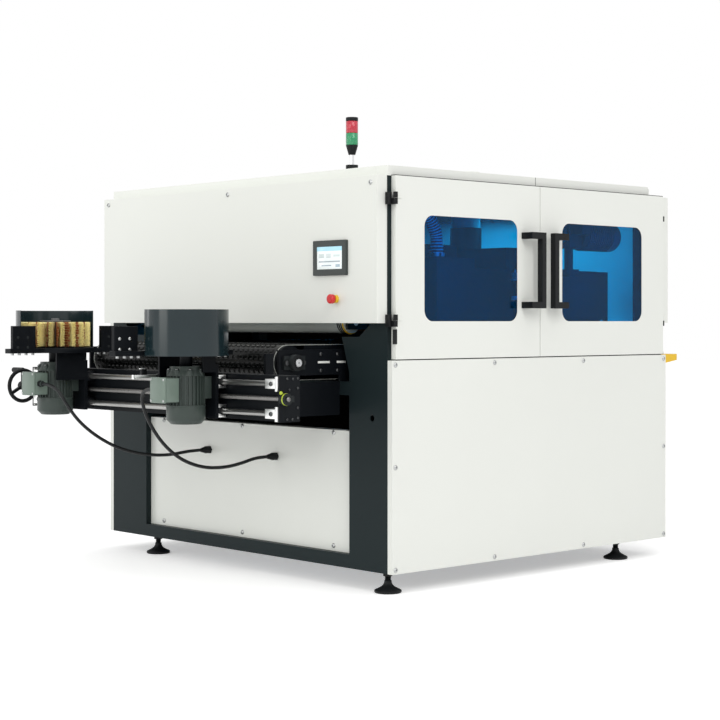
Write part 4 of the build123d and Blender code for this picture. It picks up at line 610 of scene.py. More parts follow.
drive_blue = surface("drive_paint", DRIVE_BLUE, 0.06, 0.08, (0.3, 0.42), 0.0014, 0.0002)
dress(drive_blue, "conveyor_gear_motor", edge=0.004)
dress(drive_blue, "drum_motors")
gear_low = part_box("conveyor_gear_motor")[0]
motor_middle = (gear_low.x + GEAR_MOTOR_INSET, drive.y)
cooling_fins = bmesh.new()
for step in range(GEAR_FINS):
    height = gear_low.z + GEAR_FIN_START + step * GEAR_FIN_PITCH
    add_turned(cooling_fins, fin(GEAR_FIN_RADIUS), (*motor_middle, height), UP, 40)
add_turned(cooling_fins, GEAR_COWL, (*motor_middle, gear_low.z), UP, 40)
made("gear_motor_fins", cooling_fins, drive_blue, "frame")
yellow_plastic = surface("yellow_plastic", YELLOW, 0.04, 0.03, (0.28, 0.36), 0.001, 0.00006)
dress(yellow_plastic, "outfeed_box", edge=0.002)
dress(yellow_plastic, "stop_collar")
box_low, box_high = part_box("outfeed_box")
dome_spot = (DOME_X, box_low.y + DOME_FROM_FRONT, box_high.z - DOME_SUNK)
turned("sensor_dome", DOME, [dome_spot], UP, black_plastic, "frame", 28)

# Cross rail before the infeed: a box beam with end plates, bright guide shafts in clamp blocks,
# and the lead screw between them, turned by a black handwheel.
SHAFT_METAL = (0.37, 0.37, 0.36)
SCREW_METAL = (0.21, 0.205, 0.20)
ALUMINIUM = (0.86, 0.87, 0.86)
SCREW_PITCH = 0.005
THREAD_DEPTH = 0.0013
THREAD_STEPS = 16
RINGS_PER_PITCH = 4
END_PLATE = 0.008
END_PLATE_BACK = -0.925
BEAM_FRONT = -0.979
EDGE_SCREWS = (0.014, 0.049, 0.117, 0.150)
FACE_SCREWS = ((-0.032, 0.149), (-0.048, 0.112), (-0.034, 0.010), (-0.058, 0.150), (-0.058, 0.010))
END_SCREWS = [(-0.010, rise) for rise in EDGE_SCREWS] + list(FACE_SCREWS)
SHAFT_HEIGHTS = (0.772, 0.668)
CLAMP = (0.0705, 0.0165, 0.0168)
CLAMP_FLANGE = (0.0120, 0.0255, 0.0215)
CLAMP_SCREW_IN = 0.038


def ring_across(x, axis, corners):
    """Places at one x round an axis along X, from (angle, radius) corners."""
    places = []
    for angle, radius in corners:
        places.append((x, axis.y + radius * math.cos(angle), axis.z + radius * math.sin(angle)))
    return places


dress(black_coat, "cross_rail", edge=0.0015)
ground_steel = surface("ground_steel", SHAFT_METAL, 0.04, 0.006, (0.3, 0.38), 0.002, 0.00002, metal=1.0)
screw_steel = surface("screw_steel", SCREW_METAL, 0.10, 0.01, (0.26, 0.38), 0.002, 0.00003, metal=1.0)
aluminium = surface("aluminium", ALUMINIUM, 0.04, 0.02, (0.3, 0.4), 0.0016, 0.00003, metal=1.0)
dress(ground_steel, "guide_shafts", edge=0.0012)
dress(black_plastic, "handwheel")
end_screw = button_head(0.0046, 0.004)
clamp_screw = button_head(0.0085, 0.006)
end_screws = bmesh.new()
clamp_screws = bmesh.new()
clamp_blocks = bmesh.new()
for side, reach in rail_ends:
    for along, rise in END_SCREWS:
        spot = (side * reach, END_PLATE_BACK + along, rail_low.z + rise)
        add_turned(end_screws, end_screw, spot, (side, 0, 0), 16)
    clamp_end = reach - END_PLATE
    clamp_forms = [CLAMP, CLAMP_FLANGE] if side > 0 else [CLAMP]
    for height in SHAFT_HEIGHTS:
        for length, half, front in clamp_forms:
            outer = (side * clamp_end, screw_axis.y - front, height - half)
            inner = (side * (clamp_end - length), BEAM_FRONT, height + half)
            add_block(clamp_blocks, outer, inner)
        spot = (side * (clamp_end - CLAMP_SCREW_IN), screw_axis.y - CLAMP[2], height)
        add_turned(clamp_screws, clamp_screw, spot, (0, -1, 0), 18)
made("end_plate_screws", end_screws, dark_zinc, "frame")
made("shaft_clamp_blocks", clamp_blocks, aluminium, "frame")
made("clamp_block_screws", clamp_screws, dark_zinc, "frame")

lead_low, lead_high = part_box("lead_screw")
lead_radius = (lead_high.y - lead_low.y) / 2
lead_length = lead_high.x - lead_low.x
thread_count = round(lead_length / SCREW_PITCH * RINGS_PER_PITCH)
thread_shape = bmesh.new()
thread_rings = []
for step in range(thread_count + 1):
    x = lead_low.x + lead_length * step / thread_count
    ring = []
    for corner in range(THREAD_STEPS):
        turn = corner / THREAD_STEPS
        phase = (x / SCREW_PITCH + turn) % 1.0
        radius = lead_radius - THREAD_DEPTH * (1 - abs(2 * phase - 1))
        ring.append((math.tau * turn, radius))
    thread_rings.append(ring_across(x, screw_axis, ring))
add_skin(thread_shape, thread_rings)
thread_bar = made("lead_screw_thread", thread_shape, screw_steel, "width_screw", 180)
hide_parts("lead_screw")

# Side brush units: carriage, base plate with edge guides, and a curved guard round the back of the brush.
# Black coated plate, screwed together with bright socket screws, and a guard in dark blue-grey gloss.
GUARD_BLUE = (0.009, 0.020, 0.024)
CARRIAGE_OUTER = 0.077
CARRIAGE_INNER = 0.096
GUIDE_FACE = 0.100
GUIDE_THICKNESS = 0.018
GUIDE_SCREW_SPREADS = (0.185, 0.228)
GUIDE_SCREW_HEIGHTS = (0.888, 0.926)
UNDER_BOLT = [(0, 0.0075), (0.0055, 0.0075), (0.006, 0.007), (0.006, 0), (0, 0)]
UNDER_BOLT_IN = 0.078
UNDER_BOLT_SPREADS = (0.150, 0.180, 0.210, 0.240)
BEARING_LENGTH = 0.0425
BEARING_PROUD = 0.0005
BEARING_HALF = 0.0235
BEARING_GAP = 0.0110
BEARING_FRONT = 0.0168
BEARING_BACK = 0.0165
PLATE_BOTTOM = 0.865
BEARING_SEAL = [(0.0101, 0), (0.0150, 0), (0.0150, 0.0012), (0.0125, 0.0024), (0.0101, 0.0024)]
SIDES = (("left", -1), ("right", 1))

guard_gloss = surface("guard_gloss", GUARD_BLUE, 0.05, 0.15, (0.13, 0.19), 0.0016, 0.00006,
                      coat=0.4, shine=0.25)
guide_screw = button_head(0.0065, 0.004)
sunk_screw = button_head(0.0055, 0.0008)
for name, side in SIDES:
    unit = f"{name}_unit"
    axis = pivot[f"{name}_brush_spin"]
    dress(black_coat, f"{name}_carriage", f"{name}_base_plate", edge=0.0015)
    dress(guard_gloss, f"{name}_guard")
    face_x = axis.x - side * GUIDE_FACE
    outer_x = face_x + side * GUIDE_THICKNESS
    guide_screws = bmesh.new()
    sunk_screws = bmesh.new()
    under_bolts = bmesh.new()
    for end in (-1, 1):
        for along in GUIDE_SCREW_SPREADS:
            for height in GUIDE_SCREW_HEIGHTS:
                y = axis.y + end * along
                add_turned(guide_screws, guide_screw, (outer_x, y, height), (side, 0, 0), 16)
                add_turned(sunk_screws, sunk_screw, (face_x, y, height), (-side, 0, 0), 16)
        for along in UNDER_BOLT_SPREADS:
            spot = (axis.x - side * UNDER_BOLT_IN, axis.y + end * along, PLATE_BOTTOM)
            add_turned(under_bolts, UNDER_BOLT, spot, (0, 0, -1), 14)
    made(f"{name}_guide_screws", guide_screws, zinc_plate, unit)
    made(f"{name}_sunk_screws", sunk_screws, cast_iron, unit)
    made(f"{name}_under_bolts", under_bolts, zinc_plate, unit)
    bearings = bmesh.new()
    seals = bmesh.new()
    outer_edge = axis.x + side * CARRIAGE_OUTER
    inner_edge = axis.x - side * CARRIAGE_INNER
    for height in SHAFT_HEIGHTS:
        for bottom in (height - BEARING_HALF, height + BEARING_GAP):
            top = bottom + BEARING_HALF - BEARING_GAP
            outer = (outer_edge + side * BEARING_PROUD, screw_axis.y - BEARING_FRONT, bottom)
            inner = (outer_edge - side * BEARING_LENGTH, screw_axis.y + BEARING_BACK, top)
            add_block(bearings, outer, inner)
        for edge, facing in ((outer_edge, side), (inner_edge, -side)):
            add_turned(seals, BEARING_SEAL, (edge, screw_axis.y, height), (facing, 0, 0), 32)
    made(f"{name}_shaft_bearings", bearings, aluminium, unit)
    made(f"{name}_bearing_seals", seals, black_plastic, unit)

# Cable arm on the right carriage: a bent strip screwed to the inner gusset, with a small limit switch on it.
# Bright strip, 3 mm thick, and a moulded black switch with a bright lever.
ARM_BACK = -1.120
ARM_FRONT = -1.262
ARM_BOTTOM = 0.785
ARM_TOP = 0.797
ARM_SHEET = 0.003
TAB_REACH = 0.014
TAB_DROP = 0.003
LEVER_ACROSS = (0.012, 0.004)
LEVER_ALONG = (0.030, 0.052)
SWITCH_REACH = 0.015
SWITCH_ALONG = (0.036, 0.058)
SWITCH_RISE = 0.020

arm_face = pivot["right_brush_spin"].x - CARRIAGE_INNER
switch_top = ARM_TOP + SWITCH_RISE
arm_shape = bmesh.new()
add_block(arm_shape, (arm_face - ARM_SHEET, ARM_FRONT, ARM_BOTTOM), (arm_face, ARM_BACK, ARM_TOP), THIN_EDGE)
tab_low = (arm_face - TAB_REACH, ARM_FRONT, ARM_BOTTOM - TAB_DROP)
add_block(arm_shape, tab_low, (arm_face, ARM_FRONT + ARM_SHEET, ARM_TOP), THIN_EDGE)
lever_low = (arm_face - LEVER_ACROSS[0], ARM_FRONT + LEVER_ALONG[0], switch_top)
lever_high = (arm_face - LEVER_ACROSS[1], ARM_FRONT + LEVER_ALONG[1], switch_top + ARM_SHEET)
add_block(arm_shape, lever_low, lever_high, THIN_EDGE)
made("cable_arm", arm_shape, aluminium, "right_unit")
switch_shape = bmesh.new()
switch_low = (arm_face - SWITCH_REACH, ARM_FRONT + SWITCH_ALONG[0], ARM_BOTTOM)
add_block(switch_shape, switch_low, (arm_face - ARM_SHEET, ARM_FRONT + SWITCH_ALONG[1], switch_top))
made("limit_switch", switch_shape, black_plastic, "right_unit")

# Brush motors: finned castings with a fan cowl below and a terminal box in front.
# Painted grey-green, with a paler box and lid.
MOTOR_GREEN = (0.042, 0.056, 0.050)
BOX_GREEN = (0.150, 0.200, 0.168)
SHELL = ((-0.0428, -0.1180, 0.7012), (0.0428, -0.0600, 0.7888), 0.004)
LID = ((-0.0450, -0.1262, 0.6990), (0.0450, -0.1150, 0.7910), 0.005)
LID_SCREW_OUT = 0.037
LID_SCREW_HEIGHTS = (0.7075, 0.7825)
COWL_BAND = [(0.0695, 0), (0.0712, 0.0010), (0.0712, 0.0050), (0.0695, 0.0060)]
COWL_BAND_Z = 0.684
SHIELD_BOLTS = 8
LUG_CIRCLE = 0.0605
LUG_BOTTOM = 0.794
LUG_HEIGHT = 0.0215
LUG = [(0.0095, 0), (0.0095, 0.020), (0.0085, LUG_HEIGHT), (0, LUG_HEIGHT)]
FOOT_STARTS = (-0.052, 0.030)
FOOT_WIDTH = 0.022
FOOT_FRONT = 0.030
FOOT_BACK = 0.0765
FOOT_BOTTOM = 0.712
FOOT_TOP = 0.792
FOOT_EDGE = 0.002
GLAND_SPOT = Vector((0.042, -0.097, 0.745))
GLAND_NUT = rectangle(0, 0.0135, 0, 0.008)
GLAND_SLEEVE = [
    (0.0112, 0.008), (0.0122, 0.009), (0.0122, 0.017), (0.0095, 0.0215), (0.0068, 0.0225), (0.0060, 0.0226),
]

motor_paint = surface("motor_paint", MOTOR_GREEN, 0.07, 0.06, (0.32, 0.42), 0.0014, 0.0002, shine=0.3)
box_paint = surface("terminal_box_paint", BOX_GREEN, 0.05, 0.05, (0.34, 0.42), 0.0012, 0.0001)
lid_screw = button_head(0.0045, 0.0022)
shield_bolt = button_head(0.0065, 0.0055)
for name, side in SIDES:
    unit = f"{name}_unit"
    axis = pivot[f"{name}_brush_spin"]
    foot_of_axis = Vector((axis.x, axis.y, 0))
    dress(motor_paint, f"{name}_motor", edge=0.0012)
    box_shape = bmesh.new()
    for low, high, edge in (SHELL, LID):
        add_block(box_shape, low, high, edge, foot_of_axis)
    made(f"{name}_terminal_box", box_shape, box_paint, unit)
    lid_screws = bmesh.new()
    for across in (-LID_SCREW_OUT, LID_SCREW_OUT):
        for height in LID_SCREW_HEIGHTS:
            spot = (axis.x + across, axis.y + LID[0][1], height)
            add_turned(lid_screws, lid_screw, spot, (0, -1, 0), 14)
    made(f"{name}_lid_screws", lid_screws, zinc_plate, unit)
    trim = bmesh.new()
    add_turned(trim, COWL_BAND, (axis.x, axis.y, COWL_BAND_Z), UP, 48)
    shield_bolts = bmesh.new()
    for across, along in circle(SHIELD_BOLTS, LUG_CIRCLE, 0.5):
        lug = Vector((axis.x + across, axis.y + along, LUG_BOTTOM))
        add_turned(trim, LUG, lug, UP, 18)
        add_turned(shield_bolts, shield_bolt, lug + Vector((0, 0, LUG_HEIGHT)), UP, 16)
    made(f"{name}_motor_trim", trim, motor_paint, unit)
    made(f"{name}_shield_bolts", shield_bolts, zinc_plate, unit)
    feet = bmesh.new()
    for start in FOOT_STARTS:
        foot_high = (start + FOOT_WIDTH, FOOT_BACK, FOOT_TOP)
        add_block(feet, (start, FOOT_FRONT, FOOT_BOTTOM), foot_high, FOOT_EDGE, foot_of_axis)
    made(f"{name}_motor_feet", feet, motor_paint, unit)
    gland = bmesh.new()
    gland_spot = foot_of_axis + GLAND_SPOT * Vector((-side, 1, 1))
    add_turned(gland, GLAND_NUT, gland_spot, (-side, 0, 0), 6)
    add_turned(gland, GLAND_SLEEVE, gland_spot, (-side, 0, 0), 28)
    made(f"{name}_motor_gland", gland, black_plastic, unit)

# Upright side brushes: a turned hub with a clamp disc, tufts of stiff yellow fibre in slots round it,
# and slit strips of brown abrasive cloth between the tufts.
FIBRE = (0.96, 0.85, 0.38)
ABRASIVE = (0.30, 0.105, 0.035)
HUB_GREY = (0.10, 0.10, 0.10)
TUFTS = 18
FIBRES_ACROSS = 6
FIBRES_UP = 58
FIBRE_HALF = 0.0010
FIBRE_TAPER = ((0.0, FIBRE_HALF), (0.55, FIBRE_HALF), (1.0, FIBRE_HALF * 0.7))
FIBRE_SECTION = ((-1, -0.6), (1, -0.6), (0, 1.1))
FIBRE_SPLAY = 0.0012
FIBRE_SCATTER = 0.0022
FIBRE_SPACING = 0.0019
TUFT_FLARE = 1.3
ROOT_MARGIN = 0.002
TIP_MARGIN = 0.001
ROOT_REACH = 0.047
TIP_REACH = 0.1365
CLOTH_ROOT = 0.0475
CLOTH_REACH = 0.127
CLOTH_WEAR = 0.005
CLOTH_SLIT = 0.0005
CLOTH_FINGERS = 10
CLOTH_STEPS = 6
CLOTH_HALF = 0.0008
CLOTH_SWEEP = 0.010
HOLDER_RADII = (0.0450, 0.0485)

fibre = surface("brush_fibre", FIBRE, 0.18, 0.006, (0.5, 0.7), 0.0015, 0.0002)
abrasive = surface("abrasive_cloth", ABRASIVE, 0.35, 0.008, (0.75, 0.95), 0.0009, 0.0004)
hub_plastic = surface("hub_plastic", HUB_GREY, 0.08, 0.02, (0.35, 0.5), 0.001, 0.0001)


def outward(heading):
    """Level unit directions at a heading: away from a brush's axis, and round it."""
    out = Vector((math.cos(heading), math.sin(heading), 0))
    return out, Vector((-out.y, out.x, 0))


for name, side in SIDES:
    seeded = random.Random(f"{name} brush")
    body = f"{name}_brush"
    axis = pivot[f"{name}_brush_spin"]
    dress(hub_plastic, f"{name}_brush_hub", edge=0.0012)
    low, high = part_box(f"{name}_brush_bristles")
    brush_height = high.z - low.z
    corners = []
    faces = []
    for tuft in range(TUFTS):
        out, along = outward(math.tau * tuft / TUFTS)
        for column in range(FIBRES_ACROSS):
            for row in range(FIBRES_UP):
                root_across = (column - (FIBRES_ACROSS - 1) / 2) * FIBRE_SPACING
                root_up = low.z + ROOT_MARGIN + (brush_height - 2 * ROOT_MARGIN) * (row + 0.5) / FIBRES_UP
                tip_across = root_across * TUFT_FLARE + seeded.gauss(0, FIBRE_SPLAY)
                tip_up = root_up + seeded.gauss(0, FIBRE_SCATTER)
                tip_up = min(max(tip_up, low.z + TIP_MARGIN), high.z - TIP_MARGIN)
                reach = TIP_REACH - abs(seeded.gauss(0, FIBRE_SCATTER))
                first = len(corners)
                for share, thick in FIBRE_TAPER:
                    across = root_across + (tip_across - root_across) * share * share
                    up = root_up + (tip_up - root_up) * share
                    middle = axis + out * (ROOT_REACH + (reach - ROOT_REACH) * share) + along * across
                    for lean, rise in FIBRE_SECTION:
                        spot = middle + along * lean * thick
                        corners.append((spot.x, spot.y, up + rise * thick))
                for near in (first, first + 3):
                    for step in range(3):
                        beside = (step + 1) % 3
                        faces.append((near + step, near + beside, near + beside + 3, near + step + 3))
                faces.append((first, first + 2, first + 1))
                faces.append((first + 6, first + 7, first + 8))
    fibre_mesh = bpy.data.meshes.new(f"{name}_fibres")
    fibre_mesh.from_pydata(corners, [], faces)
    fibres = placed(f"{name}_fibres", fibre_mesh, fibre, body)
    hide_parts(f"{name}_brush_bristles")

    cloth_shape = bmesh.new()
    for strip in range(TUFTS):
        heading = math.tau * (strip + 0.5) / TUFTS
        for finger in range(CLOTH_FINGERS):
            bottom = low.z + brush_height * finger / CLOTH_FINGERS + CLOTH_SLIT
            top = low.z + brush_height * (finger + 1) / CLOTH_FINGERS - CLOTH_SLIT
            sweep = CLOTH_SWEEP * seeded.uniform(0.2, 1.0)
            reach = CLOTH_REACH - seeded.uniform(0, CLOTH_WEAR)
            rings = []
            for step in range(CLOTH_STEPS + 1):
                share = step / CLOTH_STEPS
                out, along = outward(heading + sweep * share * share / reach)
                middle = axis + out * (CLOTH_ROOT + (reach - CLOTH_ROOT) * share)
                half = along * CLOTH_HALF
                corners = rectangle(middle - half, middle + half, bottom, top)
                rings.append([(spot.x, spot.y, up) for spot, up in corners])
            add_skin(cloth_shape, rings)
    cloth = made(f"{name}_abrasive_strips", cloth_shape, abrasive, body)
    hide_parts(f"{name}_brush_flaps")
    holder = rectangle(*HOLDER_RADII, 0, brush_height)
    holder_spot = (axis.x, axis.y, low.z)
    turned(f"{name}_tuft_holder", holder, [holder_spot], UP, hub_plastic, body, 48)

# Motor cables: black sheathed cable from each terminal box, hanging round under the rail to a gland
# on the front lower panel. Each stays fixed, and ends at the panel.
CABLE_DIAMETER = 0.013
CABLE_STEPS = 14
CABLE_BLACK = (0.012, 0.013, 0.014)
CABLE_ROUTES = {
    "left": (
        (-0.366, -1.202, 0.745), (-0.316, -1.202, 0.745), (-0.272, -1.187, 0.718), (-0.256, -1.160, 0.662),
        (-0.262, -1.105, 0.600), (-0.274, -1.020, 0.540), (-0.276, -0.915, 0.486), (-0.262, -0.802, 0.455),
        (-0.236, -0.695, 0.448), (-0.215, -0.610, 0.463), (-0.215, -0.550, 0.463),
    ),
    "right": (
        (0.366, -1.202, 0.745), (0.318, -1.202, 0.745), (0.274, -1.188, 0.719), (0.254, -1.164, 0.670),
        (0.252, -1.130, 0.605), (0.254, -1.075, 0.535), (0.254, -0.995, 0.475), (0.250, -0.890, 0.440),
        (0.238, -0.780, 0.434), (0.222, -0.680, 0.445), (0.211, -0.606, 0.461), (0.211, -0.550, 0.461),
    ),
}
PANEL_NUT = rectangle(0, 0.0165, 0, 0.011)
PANEL_NECK_LENGTH = 0.045
PANEL_NECK = [
    (0.0118, 0.010), (0.0145, 0.011), (0.0148, 0.022), (0.0125, 0.028),
    (0.0105, 0.036), (0.0082, PANEL_NECK_LENGTH), (0.0060, 0.0452),
]


def smooth_line(route, detail):
    """Points along a smooth line drawn with the route's points as its control points."""
    curve = bpy.data.curves.new("route", "CURVE")
    curve.dimensions = "3D"
    spline = curve.splines.new("NURBS")
    spline.points.add(len(route) - 1)
    for point, place in zip(spline.points, route):
        point.co = (*place, 1.0)
    spline.order_u = 3
    spline.use_endpoint_u = True
    spline.resolution_u = detail
    holder = bpy.data.objects.new("route", curve)
    line = bpy.data.meshes.new_from_object(holder)
    points = [corner.co.copy() for corner in line.vertices]
    bpy.data.objects.remove(holder)
    bpy.data.meshes.remove(line)
    return points


def add_tube(shape, points, radii, steps):
    """Add a tube along points to a bmesh, with a radius at each point, carried round without twist."""
    ahead = (points[1] - points[0]).normalized()
    across = ahead.orthogonal().normalized()
    rings = []
    for index, (point, radius) in enumerate(zip(points, radii)):
        before = points[max(index - 1, 0)]
        after = points[min(index + 1, len(points) - 1)]
        heading = (after - before).normalized()
        across = (ahead.rotation_difference(heading) @ across).normalized()
        ahead = heading
        up = ahead.cross(across)
        rings.append([point + (across * level + up * rise) * radius for level, rise in circle(steps)])
    add_skin(shape, rings)


cable_rubber = surface("cable_rubber", CABLE_BLACK, 0.10, 0.03, (0.36, 0.48), 0.0012, 0.0001, shine=0.25)
panel_glands = bmesh.new()
for name, route in CABLE_ROUTES.items():
    line = smooth_line(route, 10)
    cable_shape = bmesh.new()
    add_tube(cable_shape, line, [CABLE_DIAMETER / 2] * len(line), CABLE_STEPS)
    cable = made(f"{name}_cable", cable_shape, cable_rubber, "frame", 180)
    cable.parent = None
    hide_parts(f"{name}_motor_cable")
    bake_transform(cable)
    gland_spot = Vector(route[-1]) + Vector((0, PANEL_NECK_LENGTH, 0))
    add_turned(panel_glands, PANEL_NUT, gland_spot, (0, -1, 0), 6)
    add_turned(panel_glands, PANEL_NECK, gland_spot, (0, -1, 0), 28)
glands = made("panel_glands", panel_glands, black_plastic, "frame")
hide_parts("cable_glands")

# Lifting head: side plates, hoods and equipment boxes in dark coat, with turned grey press rollers.
# The rollers' ends carry black grooves and a yellow round belt.
ROLLER_GREY = (0.74, 0.79, 0.75)
SLEEVE_INSIDE = 0.039
GROOVE = ((0.0408, 0), (0.0408, 0.0060), (0.0385, 0.0070), (0.0385, 0.0090))
GROOVES = 4
GROOVE_PITCH = 0.010
GROOVE_START = -0.043
SLEEVE_START = -0.044
GROOVED_END_X = 0.5895
ROUND_BELT_X = 0.5815
ROUND_BELT_RADIUS = 0.0415
ROUND_BELT_HALF = 0.0030
ROUND_BELT_STEPS = 12
RIGHT = (1, 0, 0)

press_skin = surface("press_skin", ROLLER_GREY, 0.05, 0.05, (0.28, 0.36), 0.0012, 0.00005,
                     stretch=(0.1, 1, 1))
dress(anthracite, "head_frame", "drum_hoods", edge=0.001)
dress(press_skin, "infeed_press_roller", "outfeed_press_roller")
grooves = [(SLEEVE_INSIDE, SLEEVE_START)]
for step in range(GROOVES):
    grooves += [(radius, GROOVE_START + step * GROOVE_PITCH + travel) for radius, travel in GROOVE]
grooves += [(SLEEVE_INSIDE, 0.0)]
round_belt = [(ROUND_BELT_RADIUS + out, travel) for out, travel in circle(ROUND_BELT_STEPS, ROUND_BELT_HALF)]
round_belt.append(round_belt[0])
for name in ("infeed", "outfeed"):
    axis = pivot[f"{name}_press_roller_spin"]
    body = f"{name}_roller"
    end_spot = (GROOVED_END_X, axis.y, axis.z)
    turned(f"{name}_roller_grooves", grooves, [end_spot], RIGHT, black_plastic, body, 48)
    belt_spot = (ROUND_BELT_X, axis.y, axis.z)
    turned(f"{name}_round_belt", round_belt, [belt_spot], RIGHT, yellow_plastic, body, 48)

# Air valves on the right side plate of the head: a row of small blocks with push-in fittings on a rail,
# and a pressure gauge box below. White coated blocks, screwed to the plate.
HEAD_PLATE_IN = 0.128
VALVE_COUNT = 5
VALVE_PITCH = 0.018
VALVE_WIDTH = 0.012
VALVE_DEPTH = 0.026
VALVE_START = 0.348
VALVE_TOP = 1.184
VALVE_RAIL = (1.153, 1.159)
RAIL_DEPTH = 0.010
RAIL_OVERHANG = 0.004
FITTING = [(0.0045, 0), (0.0045, 0.011), (0.0032, 0.013), (0, 0.013)]
FITTING_OUT = 0.014
GAUGE_DEPTH = 0.012
GAUGE_LOW = (0.346, 1.074)
GAUGE_HIGH = (0.384, 1.090)

head_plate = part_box("head_frame")[1].x - HEAD_PLATE_IN
valve_shape = bmesh.new()
rail_start = (head_plate, VALVE_START - RAIL_OVERHANG, VALVE_RAIL[0])
rail_end = (head_plate + RAIL_DEPTH, VALVE_START + VALVE_COUNT * VALVE_PITCH, VALVE_RAIL[1])
add_block(valve_shape, rail_start, rail_end, THIN_EDGE)
for step in range(VALVE_COUNT):
    start = VALVE_START + step * VALVE_PITCH
    valve_high = (head_plate + VALVE_DEPTH, start + VALVE_WIDTH, VALVE_TOP)
    add_block(valve_shape, (head_plate, start, VALVE_RAIL[1]), valve_high)
    add_turned(valve_shape, FITTING, (head_plate + FITTING_OUT, start + VALVE_WIDTH / 2, VALVE_TOP), UP, 12)
add_block(valve_shape, (head_plate, *GAUGE_LOW), (head_plate + GAUGE_DEPTH, *GAUGE_HIGH))
made("head_valves", valve_shape, white_coat, "head")

# Abrasive drums under the hoods: a steel core with rows of brown cloth and fibre set in a slow spiral.
# Direct drive motors with cooling fins sit on their left ends.
DRUM_CLOTH = (0.22, 0.095, 0.045)
DRUM_ROWS = 26
DRUM_CORE = 0.098
DRUM_REACH = 0.1385
ROW_OUTLINE = ((0.0, DRUM_CORE), (0.40, DRUM_CORE), (0.46, DRUM_REACH), (0.94, DRUM_REACH))
DRUM_HALF = 0.588
DRUM_SLICES = 24
DRUM_TWIST = 0.45
DRUM_SHAFT = rectangle(0, 0.020, -0.611, 0.611)
DRUM_FINS = 11
DRUM_FIN_START = -0.650
DRUM_FIN_PITCH = 0.013
DRUM_FIN_RADIUS = 0.089

drum_cloth = surface("drum_cloth", DRUM_CLOTH, 0.3, 0.02, (0.7, 0.9), 0.0012, 0.0004)
motor_rings = bmesh.new()
for name in ("front", "rear"):
    axis = pivot[f"{name}_drum_spin"]
    drum_shape = bmesh.new()
    slices = []
    for step in range(DRUM_SLICES + 1):
        x = -DRUM_HALF + 2 * DRUM_HALF * step / DRUM_SLICES
        twist = DRUM_TWIST * step / DRUM_SLICES
        ring = []
        for row in range(DRUM_ROWS):
            for share, radius in ROW_OUTLINE:
                ring.append((math.tau * (row + share) / DRUM_ROWS + twist, radius))
        slices.append(ring_across(x, axis, ring))
    add_skin(drum_shape, slices)
    add_turned(drum_shape, DRUM_SHAFT, axis, RIGHT, 32)
    drum = made(f"{name}_abrasive_rows", drum_shape, drum_cloth, f"{name}_abrasive_drum")
    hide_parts(f"{name}_drum")
    for step in range(DRUM_FINS):
        spot = (DRUM_FIN_START - step * DRUM_FIN_PITCH, axis.y, axis.z)
        add_turned(motor_rings, fin(DRUM_FIN_RADIUS), spot, RIGHT, 48)
made("drum_motor_fins", motor_rings, drive_blue, "head")

# Ribbed suction hose arched between two equipment boxes on the head, clamped at both ends.
# Black moulded hose, with a pale band round the crest of each rib as painted highlight.
HOSE_INSIDE = 0.022
HOSE_RIB = 0.003
HOSE_PITCH = 0.012
RING_HALF = 0.0024
RING_THICKNESS = 0.0004
HOSE_ROUTE = (
    (0.690, -0.380, 1.234), (0.690, -0.380, 1.290), (0.690, -0.378, 1.328), (0.690, -0.341, 1.391),
    (0.690, -0.279, 1.427), (0.690, -0.201, 1.427), (0.690, -0.139, 1.391), (0.690, -0.102, 1.328),
    (0.690, -0.100, 1.290), (0.690, -0.100, 1.234),
)
HOSE_BLACK = (0.030, 0.032, 0.034)
RIB_HIGHLIGHT_PALE = (0.72, 0.74, 0.75)
HOSE_CLAMP = rectangle(0.0225, 0.0262, 0.004, 0.016)
CLAMP_LOCK = ((0.025, -0.010, 0.003), (0.036, 0.010, 0.017))

hose_rubber = surface("hose_rubber", HOSE_BLACK, 0.1, 0.03, (0.34, 0.46), 0.001, 0.0001)
# The pale bands on the rib crests are painted highlight.
rib_highlight_paint = surface("rib_highlight_paint", RIB_HIGHLIGHT_PALE, 0.04, 0.03, (0.34, 0.46), 0.001, 0.0001)
hose_line = smooth_line(HOSE_ROUTE, 48)
hose_radii = []
hose_travel = 0.0
ring_count = 1
rib_radius = HOSE_INSIDE + HOSE_RIB
ring_profile = rectangle(rib_radius - RING_THICKNESS, rib_radius + RING_THICKNESS, -RING_HALF, RING_HALF)
hose_highlight_rings = bmesh.new()
for index, point in enumerate(hose_line):
    before = hose_line[max(index - 1, 0)]
    hose_travel += (point - before).length
    if hose_travel > ring_count * HOSE_PITCH:
        add_turned(hose_highlight_rings, ring_profile, point, point - before, 32)
        ring_count += 1
    hose_radii.append(HOSE_INSIDE + HOSE_RIB * (0.5 + 0.5 * math.cos(math.tau * hose_travel / HOSE_PITCH)))
hose_shape = bmesh.new()
add_tube(hose_shape, hose_line, hose_radii, 24)
hose = made("suction_hose_ribs", hose_shape, hose_rubber, "head", 180)
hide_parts("suction_hose")
made("suction_hose_rib_highlights", hose_highlight_rings, rib_highlight_paint, "head")
hose_clamps = bmesh.new()
for end in (HOSE_ROUTE[0], HOSE_ROUTE[-1]):
    add_turned(hose_clamps, HOSE_CLAMP, end, UP, 40)
    add_block(hose_clamps, *CLAMP_LOCK, spot=end)
made("hose_clamps", hose_clamps, zinc_plate, "head")

